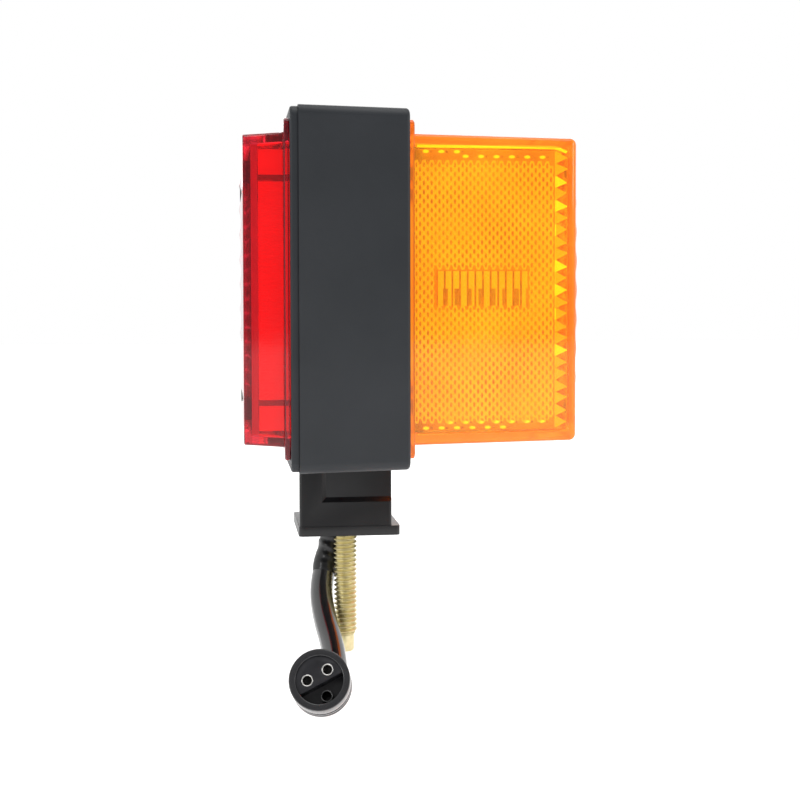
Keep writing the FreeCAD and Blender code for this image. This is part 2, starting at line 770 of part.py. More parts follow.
def tube_along(wire, radius):
    """A round solid along a path, with its section's area times its length checked."""
    first = wire.Edges[0]
    start = first.Vertexes[0].Point
    ahead = first.tangentAt(first.FirstParameter)
    section = Part.Wire([Part.makeCircle(radius, start, ahead)])
    solid = wire.makePipeShell([section], True, True)
    expected = math.pi * radius ** 2 * wire.Length
    if abs(solid.Volume - expected) > 0.01 * expected:
        raise RuntimeError("a tube has the wrong volume")
    return solid


def add_shape(label, shape):
    """A piece whose shape is set directly."""
    item = doc.addObject("Part::Feature", label)
    item.Shape = shape
    item.Placement = FreeCAD.Placement()
    node(label, item)


def build_cable():
    wire, radii = path_with_arcs(CABLE_ROUTE)
    print("cable length %.1f, radii" % wire.Length, [round(radius, 1) for radius in radii])
    jacket = tube_along(wire, size("cable_radius"))
    add_shape("cable_jacket", jacket)
    first_bend = wire.Edges[:3]
    sleeve = tube_along(Part.Wire(first_bend), size("sleeve_radius"))
    add_shape("cable_sleeve", sleeve.cut(jacket))


def build_leads():
    """Three leads from the cable's end, through the plate, to the socket."""
    hole = Vector(size("lead_hole_x"), size("lead_hole_y"), size("sleeve_recess_depth"))
    bend = size("base_thickness") + size("stud_head_height") + size("lead_bend_gap")
    rise = size("lead_bend_rise")
    top = size("socket_base_bottom")
    spread = size("contact_spread")
    ends = {"turn_lead": (210, -spread), "marker_lead": (330, spread)}
    for label, (angle, end_x) in ends.items():
        start = hole + spoke(angle)
        below = Vector(start.x, start.y, bend)
        points = [start, below, Vector(end_x, 0, bend + rise), Vector(end_x, 0, top)]
        wire, radii = path_with_arcs(points)
        print(label, "radii", [round(radius, 1) for radius in radii])
        add_shape(label, tube_along(wire, size("lead_radius")))
    start = hole + spoke(90)
    end = Vector(start.x, start.y, size("socket_bottom"))
    wire = Part.Wire([Part.LineSegment(start, end).toShape()])
    add_shape("ground_lead", tube_along(wire, size("lead_radius")))


def spoke(angle):
    """From the cable's middle to the middle of one lead."""
    turn = math.radians(angle)
    return Vector(math.cos(turn), math.sin(turn), 0) * size("lead_circle")


# ---------------------------------------------------------------- plug
def plug_placement():
    """Local Z runs out of the plug's face, local X to its right."""
    tilt = math.radians(size("plug_tilt"))
    turn = math.radians(size("plug_turn"))
    out = Vector(-math.sin(turn) * math.cos(tilt), -math.cos(turn) * math.cos(tilt), math.sin(tilt))
    right = Vector(math.cos(turn), -math.sin(turn), 0)
    rotation = FreeCAD.Rotation(right, out.cross(right), out, "ZXY")
    middle = Vector(size("plug_face_x"), size("plug_face_y"), size("plug_face_z"))
    return FreeCAD.Placement(middle, rotation)


def plug_outline():
    """The plug body's half section, from the mouth's floor out over the rim, ribs and tail."""
    outline = [
        ("0", "-plug_pocket_depth"),
        ("plug_mouth_radius", "-plug_pocket_depth"),
        ("plug_mouth_radius", "0"),
        ("plug_radius", "0"),
        ("plug_radius", "-plug_rim_width"),
        ("plug_groove_radius", "-plug_rim_width"),
    ]
    for rib in range(2):
        front = "-plug_rim_width - (plug_rib_pitch - plug_rib_width) - %d * plug_rib_pitch" % rib
        outline.append(("plug_groove_radius", front))
        outline.append(("plug_radius", front))
        outline.append(("plug_radius", front + " - plug_rib_width"))
        outline.append(("plug_groove_radius", front + " - plug_rib_width"))
    outline.append(("plug_groove_radius", "-plug_body_length"))
    outline.append(("plug_tail_radius", "-plug_body_length - plug_cone_length"))
    outline.append(("plug_tail_radius", "-plug_length"))
    outline.append(("0", "-plug_length"))
    return outline


def build_plug():
    place = plug_placement()
    body = node("plug_body", turned("PlugBody", plug_outline()))
    body.Placement = place
    insert = cylinder("insert_block", "plug_mouth_radius", "-plug_pocket_depth", "-insert_setback")
    low_x = ("-plug_radius", "plug_radius")
    low_y = ("-2 * plug_radius", "-insert_step_drop")
    low_z = ("-insert_setback - insert_step_depth", "-insert_setback")
    low_side = turned_box("insert_low_side", low_x, low_y, low_z, "insert_step_angle")
    pockets = terminal_cylinders("terminal_pocket", "terminal_radius")
    carrier = node("plug_insert", cut("PlugInsert", insert, low_side, *pockets))
    carrier.Placement = place
    outsides = terminal_cylinders("terminal_outside", "terminal_radius")
    bores = terminal_cylinders("terminal_bore", "terminal_bore")
    terminals = node("plug_terminals", cut("Terminals", join("terminal_solids", outsides), *bores))
    terminals.Placement = place


def terminal_cylinders(name, radius):
    """Three cylinders behind the plug's face, one for each terminal."""
    pieces = []
    for index, (right, rise) in enumerate(TERMINAL_PLACES, start=1):
        at = (right, rise)
        low = "-insert_setback - terminal_length"
        pieces.append(cylinder("%s_%d" % (name, index), radius, low, "-insert_setback", at))
    return pieces


# ---------------------------------------------------------------- the lamp
def check_and_write():
    """Stop on any failed object or bad shape, then write one file for each piece."""
    doc.recompute()
    for item in doc.Objects:
        if {"Invalid", "Error"} & set(item.State):
            raise RuntimeError("%s failed to compute" % item.Name)
    os.makedirs("parts", exist_ok=True)
    for item in nodes:
        shape = item.Shape
        if shape.isNull() or not shape.isValid():
            raise RuntimeError("%s has no valid shape" % item.Label)
        print("%-22s %d solids, %.1f mm3" % (item.Label, len(shape.Solids), shape.Volume))
        shape.exportStep("parts/%s.step" % item.Label)


build_housing()
build_frame()
build_gaskets()
build_red_lens()
build_amber_lens()
build_backing_plate()
build_lens_screws()
build_pedestal()
build_pedestal_screws()
build_stud()
build_socket()
build_socket_plate()
build_ground_tab()
build_spring()
build_contact_disc()
build_bulb_cap()
build_glass()
build_filaments()
build_leads()
build_cable()
build_plug()
check_and_write()
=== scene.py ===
"""The looks of a double-faced pedestal lamp: red face at -X, amber face at +X, cable below."""
import json
import math

import bmesh
import bpy
from mathutils import Matrix, Vector, noise


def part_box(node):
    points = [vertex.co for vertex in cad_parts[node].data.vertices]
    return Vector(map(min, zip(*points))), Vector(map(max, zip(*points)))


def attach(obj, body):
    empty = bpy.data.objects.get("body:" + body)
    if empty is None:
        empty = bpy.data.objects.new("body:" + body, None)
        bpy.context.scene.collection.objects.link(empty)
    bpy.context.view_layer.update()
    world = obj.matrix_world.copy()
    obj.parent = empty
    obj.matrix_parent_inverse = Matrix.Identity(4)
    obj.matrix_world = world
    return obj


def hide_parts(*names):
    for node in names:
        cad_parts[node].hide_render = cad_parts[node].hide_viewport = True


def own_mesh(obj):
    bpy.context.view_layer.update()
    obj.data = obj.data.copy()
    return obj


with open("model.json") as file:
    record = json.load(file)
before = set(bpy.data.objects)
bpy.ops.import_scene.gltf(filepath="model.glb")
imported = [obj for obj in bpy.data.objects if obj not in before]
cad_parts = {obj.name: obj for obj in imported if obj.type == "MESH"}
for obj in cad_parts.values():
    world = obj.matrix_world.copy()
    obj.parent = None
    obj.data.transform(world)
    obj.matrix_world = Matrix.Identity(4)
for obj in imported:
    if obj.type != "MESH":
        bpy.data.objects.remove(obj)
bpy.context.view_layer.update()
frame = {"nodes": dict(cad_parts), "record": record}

MM = 0.001
CENTRE = (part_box("housing_body")[0].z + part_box("housing_body")[1].z) / 2 / MM
RED_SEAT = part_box("housing_frame")[0].x / MM
AMBER_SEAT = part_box("housing_body")[1].x / MM
mounts = {mount["name"]: mount for mount in frame["record"]["mounts"]}


# ---------------------------------------------------------------- camera
def make_camera():
    """The lamp from its side, a little from the red face and from above."""
    yaw = math.radians(6.29)
    pitch = math.radians(-2.13)
    roll = math.radians(-0.17)
    ahead = Vector((math.sin(yaw) * math.cos(pitch), math.cos(yaw) * math.cos(pitch), math.sin(pitch)))
    right = ahead.cross(Vector((0, 0, 1))).normalized()
    up = right.cross(ahead)
    level_right = right * math.cos(roll) + up * math.sin(roll)
    level_up = up * math.cos(roll) - right * math.sin(roll)
    data = bpy.data.cameras.new("camera")
    data.lens = 57.6
    data.shift_x = 0.04375
    data.shift_y = -0.05425
    data.clip_start = 0.01
    data.clip_end = 20
    camera = bpy.data.objects.new("camera", data)
    turn = Matrix((level_right, level_up, -ahead)).transposed()
    camera.matrix_world = Matrix.Translation(Vector((-32.92, -349.8, 60.25)) * MM) @ turn.to_4x4()
    bpy.context.collection.objects.link(camera)
    bpy.context.scene.camera = camera


# ---------------------------------------------------------------- materials
def new_material(name):
    material = bpy.data.materials.new(name)
    material.use_nodes = True
    shader = material.node_tree.nodes["Principled BSDF"]
    return material, material.node_tree, shader


def add_noise(tree, scale, detail):
    """Noise over the object's own coordinates, which are metres."""
    coordinates = tree.nodes.new("ShaderNodeTexCoord")
    texture = tree.nodes.new("ShaderNodeTexNoise")
    texture.inputs["Scale"].default_value = scale
    texture.inputs["Detail"].default_value = detail
    tree.links.new(coordinates.outputs["Object"], texture.inputs["Vector"])
    return texture.outputs["Fac"]


def add_ramp(tree, factor, low, high, start=0.3, end=0.7):
    """A ramp between two colours."""
    ramp = tree.nodes.new("ShaderNodeValToRGB")
    ramp.color_ramp.elements[0].position = start
    ramp.color_ramp.elements[0].color = (*low, 1)
    ramp.color_ramp.elements[1].position = end
    ramp.color_ramp.elements[1].color = (*high, 1)
    tree.links.new(factor, ramp.inputs["Fac"])
    return ramp.outputs["Color"]


def add_range(tree, value, low, high):
    """A number's place between two others, from 0 to 1."""
    span = tree.nodes.new("ShaderNodeMapRange")
    span.inputs["From Min"].default_value = low
    span.inputs["From Max"].default_value = high
    tree.links.new(value, span.inputs["Value"])
    return span.outputs["Result"]


def add_bump(tree, shader, height, distance, strength=0.5):
    bump = tree.nodes.new("ShaderNodeBump")
    bump.inputs["Strength"].default_value = strength
    bump.inputs["Distance"].default_value = distance * MM
    tree.links.new(height, bump.inputs["Height"])
    tree.links.new(bump.outputs["Normal"], shader.inputs["Normal"])


def surface(name, low, high, rough, mottle, grain, depth, **sockets):
    """A surface with mottled colour and roughness and a fine grain.

    low and high are the ends of its colour, rough the ends of its roughness, mottle and grain
    the sizes of its two noises in millimetres, and depth the grain's height in millimetres.
    """
    material, tree, shader = new_material(name)
    blotches = add_noise(tree, 1 / (mottle * MM), 4.0)
    tree.links.new(add_ramp(tree, blotches, low, high), shader.inputs["Base Color"])
    spread = tree.nodes.new("ShaderNodeMapRange")
    spread.inputs["To Min"].default_value = rough[0]
    spread.inputs["To Max"].default_value = rough[1]
    fine = add_noise(tree, 1 / (grain * MM), 2.0)
    tree.links.new(fine, spread.inputs["Value"])
    tree.links.new(spread.outputs["Result"], shader.inputs["Roughness"])
    add_bump(tree, shader, fine, depth)
    for socket, value in sockets.items():
        shader.inputs[socket.replace("_", " ")].default_value = value
    return material


def clear_plastic(name, low, high, transmission, rough=0.04):
    """Moulded transparent plastic with faint flow marks and a slightly uneven skin."""
    return surface(name, low, high, (rough, rough + 0.05), 14, 3, 0.01,
                   Transmission_Weight=transmission, IOR=1.49, Specular_IOR_Level=0.5)


def make_materials():
    """The materials of the record's slots, and a few more for pieces that vary within a slot."""
    return {
        "housing_plastic": surface("housing_plastic", (0.013, 0.016, 0.020), (0.021, 0.024, 0.029),
                                   (0.42, 0.58), 25, 0.35, 0.02, Specular_IOR_Level=0.45),
        "pedestal_plastic": surface("pedestal_plastic", (0.005, 0.005, 0.006), (0.010, 0.010, 0.011),
                                    (0.3, 0.46), 9, 0.3, 0.015, Specular_IOR_Level=0.5),
        "red_plastic": clear_plastic("red_plastic", (1.0, 0.012, 0.022), (1.0, 0.03, 0.045), 0.85),
        "red_deep": clear_plastic("red_deep", (0.78, 0.016, 0.045), (0.92, 0.026, 0.06), 0.82),
        "red_dark": clear_plastic("red_dark", (0.5, 0.01, 0.024), (0.64, 0.016, 0.036), 0.82),
        # Painted light: the collar behind the red face is deep red and glows faintly.
        "red_collar_painted_glow": surface("red_collar_painted_glow", (0.5, 0.008, 0.016), (0.75, 0.014, 0.03), (0.3, 0.45), 9, 0.8,
                              0.01, Emission_Color=(1.0, 0.014, 0.035, 1), Emission_Strength=0.32),
        # Painted light: the ribbed light guides glow bright red.
        "red_guide_painted_glow": surface("red_guide_painted_glow", (0.92, 0.015, 0.02), (1.0, 0.035, 0.04), (0.3, 0.45), 9, 0.8,
                              0.01, Emission_Color=(1.0, 0.03, 0.035, 1), Emission_Strength=0.6),
        "amber_plastic": clear_plastic("amber_plastic", (1.0, 0.66, 0.04), (1.0, 0.74, 0.07), 0.9),
        # Painted light: a deeper amber that glows faintly, for the face, the flange and the top and bottom
        # of the wall, standing in for light through the plastic's thickness.
        "amber_edge_painted_glow": surface("amber_edge_painted_glow", (1.0, 0.26, 0.01), (1.0, 0.34, 0.02), (0.04, 0.09), 14, 3, 0.01,
                              Transmission_Weight=0.6, IOR=1.49, Emission_Color=(1.0, 0.16, 0.01, 1),
                              Emission_Strength=0.25),
        "reflex_back": surface("reflex_back", (0.95, 0.36, 0.01), (1.0, 0.44, 0.02),
                               (0.2, 0.35), 6, 0.8, 0.01),
        # Painted light: a darker amber that glows faintly, for the cell pits as painted shade in the pits,
        # for the panel and for parts of the marker window.
        "reflex_cell": surface("reflex_cell", (0.8, 0.16, 0.004), (1.0, 0.66, 0.05), (0.12, 0.22), 12, 0.9,
                               0.01, Coat_Weight=0.2, Emission_Color=(1.0, 0.36, 0.004, 1),
                               Emission_Strength=0.36),
        # Painted light: a brighter glowing amber for the lit rims of the cells, the marker window and the
        # teeth.
        "reflex_painted_glow": surface("reflex_painted_glow", (1.0, 0.6, 0.05), (1.0, 0.8, 0.15), (0.12, 0.24), 9, 0.9,
                               0.01, Coat_Weight=0.2, Emission_Color=(1.0, 0.6, 0.01, 1),
                               Emission_Strength=0.74),
        # Painted highlight: the brightest glowing yellow, for the beads, the line inside the top edge and
        # some teeth.
        "amber_painted_highlight": surface("amber_painted_highlight", (1.0, 0.85, 0.1), (1.0, 0.95, 0.3), (0.1, 0.2), 3, 0.8,
                                 0.01, Coat_Weight=0.5, Emission_Color=(1.0, 1.0, 0.06, 1),
                                 Emission_Strength=1.0),
        # Painted shade: a dark amber that still glows faintly, for the marker's grooves, the spot beside
        # each bead and the line inside the bottom edge.
        "amber_painted_shade": surface("amber_painted_shade", (0.6, 0.14, 0.004), (1.0, 0.5, 0.012), (0.15, 0.3), 1.6, 0.8,
                               0.01, Coat_Weight=0.3, Emission_Color=(1.0, 0.28, 0.004, 1),
                               Emission_Strength=0.3),
        "gasket_foam": surface("gasket_foam", (0.012, 0.012, 0.012), (0.03, 0.03, 0.03),
                               (0.85, 0.95), 2, 0.25, 0.06),
        "zinc_steel": surface("zinc_steel", (0.42, 0.42, 0.42), (0.62, 0.61, 0.58),
                              (0.25, 0.42), 3, 0.3, 0.01, Metallic=1.0),
        # The black of the lens screws, also painted on the walls of the screw recesses as painted shade.
        "screw_black_and_seat_shade": surface("screw_black_and_seat_shade", (0.012, 0.012, 0.014), (0.03, 0.028, 0.03),
                               (0.3, 0.5), 2, 0.3, 0.01, Metallic=0.6),
        "yellow_zinc": surface("yellow_zinc", (0.64, 0.56, 0.30), (0.82, 0.75, 0.47),
                               (0.3, 0.46), 2.5, 0.4, 0.003, Metallic=1.0),
        "tinned_steel": surface("tinned_steel", (0.45, 0.45, 0.44), (0.62, 0.62, 0.6),
                                (0.3, 0.5), 4, 0.3, 0.01, Metallic=1.0),
        "insulator": surface("insulator", (0.075, 0.030, 0.016), (0.13, 0.06, 0.03),
                             (0.6, 0.8), 1.2, 0.3, 0.04),
        "spring_steel": surface("spring_steel", (0.38, 0.38, 0.4), (0.52, 0.52, 0.53),
                                (0.2, 0.35), 2, 0.2, 0.01, Metallic=1.0),
        "brass": surface("brass", (0.62, 0.42, 0.14), (0.80, 0.60, 0.28),
                         (0.2, 0.36), 4, 0.3, 0.01, Metallic=1.0),
        "bulb_clear": clear_plastic("bulb_clear", (0.96, 0.98, 0.98), (1.0, 1.0, 1.0), 1.0, 0.0),
        "tungsten": surface("tungsten", (0.14, 0.14, 0.15), (0.26, 0.26, 0.27),
                            (0.4, 0.55), 1, 0.2, 0.01, Metallic=1.0),
        "cable_vinyl": surface("cable_vinyl", (0.004, 0.004, 0.005), (0.009, 0.008, 0.009), (0.14, 0.26), 6,
                               0.9, 0.02, Specular_IOR_Level=0.9, Coat_Weight=1.0, Coat_IOR=1.9,
                               Coat_Roughness=0.12),
        "sleeve_vinyl": surface("sleeve_vinyl", (0.003, 0.003, 0.004), (0.007, 0.007, 0.008),
                                (0.3, 0.5), 3, 0.7, 0.08, Coat_Weight=0.3),
        # Painted shade: a darker metal for the third terminal, which sits in the shade of the carrier's
        # step.
        "terminal_dull": surface("terminal_dull", (0.03, 0.03, 0.032), (0.16, 0.16, 0.16),
                                 (0.12, 0.3), 1.2, 0.2, 0.01, Metallic=1.0),
        "lead_green": surface("lead_green", (0.02, 0.2, 0.06), (0.04, 0.27, 0.09),
                              (0.35, 0.5), 3, 0.5, 0.01),
        "lead_brown": surface("lead_brown", (0.09, 0.035, 0.015), (0.14, 0.06, 0.03),
                              (0.35, 0.5), 3, 0.5, 0.01),
        "lead_white": surface("lead_white", (0.7, 0.69, 0.64), (0.8, 0.79, 0.75),
                              (0.35, 0.5), 3, 0.5, 0.01),
        "plug_rubber": surface("plug_rubber", (0.010, 0.010, 0.012), (0.018, 0.018, 0.021),
                               (0.2, 0.3), 4, 0.6, 0.004, Specular_IOR_Level=0.7, Coat_Weight=0.3),
        "plug_carrier": surface("plug_carrier", (0.012, 0.012, 0.015), (0.020, 0.020, 0.024),
                                (0.26, 0.38), 3, 0.6, 0.005),
        "terminal_metal": surface("terminal_metal", (0.72, 0.71, 0.68), (0.88, 0.87, 0.85),
                                  (0.14, 0.28), 1.5, 0.2, 0.008, Metallic=1.0),
        "floor_white": surface("floor_white", (0.88, 0.88, 0.88), (0.92, 0.92, 0.92), (0.7, 0.8), 200, 20,
                               0.01, Emission_Color=(1, 1, 1, 1), Emission_Strength=0.5),
    }


materials = make_materials()


def dress_cad_nodes():
    """Every CAD node takes the material of its slot."""
    for entry in frame["record"]["subparts"]:
        node = frame["nodes"][entry["node"]]
        node.data.materials.clear()
        node.data.materials.append(materials[entry["material_slot"]])
    frame["nodes"]["lens_screws"].data.materials[0] = materials["screw_black_and_seat_shade"]


# ---------------------------------------------------------------- mesh helpers
MERGE = 1e-4


def link_object(name, mesh, *slots):
    """An object from a mesh in the making, with materials in its slots."""
    data = bpy.data.meshes.new(name)
    mesh.to_mesh(data)
    mesh.free()
    for material in slots:
        data.materials.append(materials[material])
    piece = bpy.data.objects.new(name, data)
    bpy.context.collection.objects.link(piece)
    return piece


def shade(mesh, angle):
    """Smooth shading with sharp edges past an angle in degrees."""
    for edge in mesh.edges:
        edge.smooth = edge.calc_face_angle(0) < math.radians(angle)
    for face in mesh.faces:
        face.smooth = True


def finish_piece(name, mesh, slot_name, body="lamp", replaced=(), smooth_angle=35, extra=()):
    """Link a piece whose vertices are millimetres, give it a material and let it ride on a body."""
    bmesh.ops.remove_doubles(mesh, verts=mesh.verts, dist=MERGE)
    bmesh.ops.recalc_face_normals(mesh, faces=mesh.faces)
    bmesh.ops.scale(mesh, vec=(MM, MM, MM), verts=mesh.verts)
    shade(mesh, smooth_angle)
    return settle(link_object(name, mesh, slot_name, *extra), body, replaced)


def settle(piece, body="lamp", replaced=()):
    """Let a piece ride on a body and stand for CAD nodes."""
    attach(piece, body)
    if replaced:
        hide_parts(*replaced)
    return piece


def bridge(mesh, loops, ring=False):
    """Quads between loops of equal length. A ring also joins the last loop to the first."""
    rows = [[mesh.verts.new(point) for point in loop] for loop in loops]
    pairs = list(zip(rows, rows[1:]))
    if ring:
        pairs.append((rows[-1], rows[0]))
    count = len(rows[0])
    for low, high in pairs:
        for index in range(count):
            after = (index + 1) % count
            mesh.faces.new((low[index], low[after], high[after], high[index]))
    return rows


def bridge_closed(mesh, loops):
    """A closed form: quads between loops and a face over each end."""
    rows = bridge(mesh, loops)
    mesh.faces.new(rows[0])
    mesh.faces.new(rows[-1])


def circle(radius, height, steps=64):
    """Points round the Z axis at a height."""
    return [Vector((radius * math.cos(turn), radius * math.sin(turn), height))
            for turn in (2 * math.pi * index / steps for index in range(steps))]


def rounded_profile(points, radius, steps=4):
    """A profile of (radius, height) corners, each turned into a small arc where there is room."""
    result = [points[0]]
    for before, corner, after in zip(points, points[1:], points[2:]):
        corner = Vector(corner)
        back = Vector(before) - corner
        ahead = Vector(after) - corner
        reach = min(radius, back.length * 0.45, ahead.length * 0.45)
        start = corner + back.normalized() * reach
        end = corner + ahead.normalized() * reach
        for index in range(steps + 1):
            share = index / steps
            bent = start * (1 - share) ** 2 + corner * 2 * share * (1 - share) + end * share ** 2
            result.append(tuple(bent))
    result.append(points[-1])
    return result


def lathe(mesh, profile, place=Matrix(), steps=64):
    """A turned form. The profile starts and ends on the axis, or else it closes on itself."""
    on_axis = profile[0][0] < 1e-6
    loops = [circle(radius, height, steps) for radius, height in profile if radius > 1e-6]
    rows = bridge(mesh, loops, ring=not on_axis)
    if on_axis:
        for row, (_, height) in ((rows[0], profile[0]), (rows[-1], profile[-1])):
            middle = mesh.verts.new((0, 0, height))
            for index in range(steps):
                mesh.faces.new((row[index], row[(index + 1) % steps], middle))
            rows.append([middle])
    for vert in (vert for row in rows for vert in row):
        vert.co = place @ vert.co


# ---------------------------------------------------------------- lenses
GRID_STEPS = 110
CORNER_STEPS = 6


def square_loop(x, half, radius):
    """A square about the lamp's centre with round corners, seen along X."""
    points = []
    straight = half - radius
    for quadrant in range(4):
        start = math.pi / 2 * quadrant
        side_y = 1 if quadrant in (0, 3) else -1
        side_z = 1 if quadrant in (0, 1) else -1
        for index in range(CORNER_STEPS + 1):
            turn = start + math.pi / 2 * index / CORNER_STEPS
            y = side_y * straight + radius * math.cos(turn)
            z = side_z * straight + radius * math.sin(turn)
            points.append(Vector((x, y, CENTRE + z)))
        corner_end = points[-1]
        heading = Vector((0, math.cos(start + math.pi), math.sin(start + math.pi)))
        for index in range(1, GRID_STEPS):
            points.append(corner_end + heading * (2 * straight * index / GRID_STEPS))
    return points


def face_patch(mesh, half, shape):
    """A grid over a lens's face. shape gives x at (y, z), both from the middle."""
    step = 2 * half / GRID_STEPS
    rows = []
    for row in range(GRID_STEPS + 1):
        z = -half + row * step
        rows.append([mesh.verts.new((shape(-half + column * step, z), -half + column * step, CENTRE + z))
                     for column in range(GRID_STEPS + 1)])
    for low, high in zip(rows, rows[1:]):
        for column in range(GRID_STEPS):
            mesh.faces.new((low[column], low[column + 1], high[column + 1], high[column]))


def shaped_loop(half, shape):
    """The square loop that a face patch ends at."""
    loop = square_loop(0, half, 0)
    for point in loop:
        point.x = shape(point.y, point.z - CENTRE)
    return loop


def edge_arc(x, half, radius, outward, corner, steps=4):
    """Loops that round a lens's outer edge, from its wall to its face."""
    loops = []
    for index in range(steps + 1):
        turn = math.pi / 2 * index / steps
        inset = radius * (1 - math.cos(turn))
        loop_x = x - outward * radius * (1 - math.sin(turn))
        loops.append(square_loop(loop_x, half - inset, max(corner - inset * 0.6, 0.3)))
    return loops


def lens_shell(seat, outward, sizes, outer_shape, inner_shape):
    """A lens: flange, drafted wall, rounded edge, shaped face and the hollow behind it.

    The bands are the places along the wall where a row of faces ends, so that it can be painted.
    """
    mesh = bmesh.new()
    root, rim, depth, cavity = sizes["root"], sizes["rim"], sizes["depth"], sizes["cavity"]
    flange, thick, corner, wall = sizes["flange"], sizes["thick"], sizes["corner"], sizes["wall"]

    def x(distance):
        return seat + outward * distance

    loops = [
        square_loop(x(0), flange - 0.2, corner),
        square_loop(x(0.2), flange, corner),
        square_loop(x(thick - 0.3), flange, corner),
        square_loop(x(thick), flange - 0.3, corner),
        square_loop(x(thick), root + 0.35, corner),
        square_loop(x(thick + 0.1), root + 0.1, corner),
        square_loop(x(thick + 0.4), root, corner),
    ]
    straight = depth - sizes["edge"] - thick - 0.4
    for distance in sizes["bands"]:
        share = (distance - thick - 0.4) / straight
        loops.append(square_loop(x(distance), root + (rim - root) * share, corner))
    loops += edge_arc(x(depth), rim, sizes["edge"], outward, corner)
    border = sizes["grid"] + 0.5
    loops.append(square_loop(x(depth), border, 0.3))
    loops.append(shaped_loop(sizes["grid"], outer_shape))
    inner_grid = sizes["grid"] - 1.0
    inside = [
        square_loop(x(0), root - wall, corner * 0.7),
        square_loop(x(cavity - 0.6), rim - wall, corner * 0.7),
        square_loop(x(cavity - 0.15), rim - wall - 0.15, corner * 0.6),
        square_loop(x(cavity), inner_grid + 0.15, 0.2),
        shaped_loop(inner_grid, inner_shape),
    ]
    bridge(mesh, inside[::-1] + loops)
    face_patch(mesh, sizes["grid"], outer_shape)
    face_patch(mesh, inner_grid, inner_shape)
    bmesh.ops.remove_doubles(mesh, verts=mesh.verts, dist=MERGE)
    bmesh.ops.recalc_face_normals(mesh, faces=mesh.faces)
    return mesh


def rod_along_x(mesh, radius, low, high, y, z, steps=32):
    """A plain closed cylinder along X."""
    outline = circle(radius, 0, steps)
    bridge_closed(mesh, [[Vector((x, y + point.x, z + point.y)) for point in outline] for x in (low, high)])


# Both lenses: half widths of the wall's root and the flange, and the other sizes they share.
SHARED_SIZES = {"root": 38.35, "flange": 41.3, "thick": 1.4, "corner": 1.3, "wall": 2.0, "grid": 35.5}
SCREW_OFFSET = 29.2
POST = 3.4
# A face of a lens reaches further out than this if it is on the flange, or on the wall's outside.
ON_FLANGE = 38.7
ON_WALL = 37.2


def rods_object(name, radius, low, high):
    """Four rods along X, on the lens screws, as an object for cutting or joining."""
    mesh = bmesh.new()
    for side in (-1, 1):
        for rise in (-1, 1):
            rod_along_x(mesh, radius, low, high, side * SCREW_OFFSET, CENTRE + rise * SCREW_OFFSET)
    bmesh.ops.recalc_face_normals(mesh, faces=mesh.faces)
    bmesh.ops.scale(mesh, vec=(MM, MM, MM), verts=mesh.verts)
    return link_object(name, mesh)


def combine(piece, steps):
    """Apply boolean steps, each an operation and a tool object, and remove the tools."""
    for operation, tool in steps:
        modifier = piece.modifiers.new(operation, "BOOLEAN")
        modifier.operation = operation
        modifier.object = tool
        modifier.solver = "EXACT"
    graph = bpy.context.evaluated_depsgraph_get()
    result = bpy.data.meshes.new_from_object(piece.evaluated_get(graph))
    piece.modifiers.clear()
    piece.data = result
    for _, tool in steps:
        bpy.data.objects.remove(tool)
    mesh = bmesh.new()
    mesh.from_mesh(piece.data)
    shade(mesh, 30)
    mesh.to_mesh(piece.data)
    mesh.free()


def paint(piece, index, chosen):
    """Faces take another of a piece's materials where chosen(x, reach, middle) is true.

    The reach is how far out from the lamp's centre the middle of the face lies, in Y or in Z.
    """
    for polygon in piece.data.polygons:
        middle = polygon.center / MM
        if chosen(middle.x, max(abs(middle.y), abs(middle.z - CENTRE)), middle):
            polygon.material_index = index


def paint_all(piece, index):
    paint(piece, index, lambda x, reach, middle: True)


FLUTE_PITCH = 7.35
FLUTES = 9
FLUTE_DROP = 0.8
FLUTE_DEPTH = 0.5
RED_DEPTH = 11.2
RED_CAVITY = 9.2
RED_COLLAR = 7.6
SCREW_SEAT = 2.8


def flute(z):
    """How far the red face is hollowed at a height from the middle."""
    place = (z + FLUTE_DROP) / FLUTE_PITCH + FLUTES / 2
    if not 0 <= place <= FLUTES:
        return 0
    share = (place % 1.0 - 0.5) * 2
    return FLUTE_DEPTH * (1 - share * share)


def pillow(y, z):
    """How far the inside of either face swells out, in rows of low pillows."""
    turn = 2 * math.pi / FLUTE_PITCH
    return 0.25 * math.cos(turn * y) * math.cos(turn * z)


def red_face(y, z):
    """Hollow flutes along Y that meet in sharp ridges."""
    return RED_SEAT - RED_DEPTH + flute(z)


def red_inside(y, z):
    return RED_SEAT - RED_CAVITY + pillow(y, z)


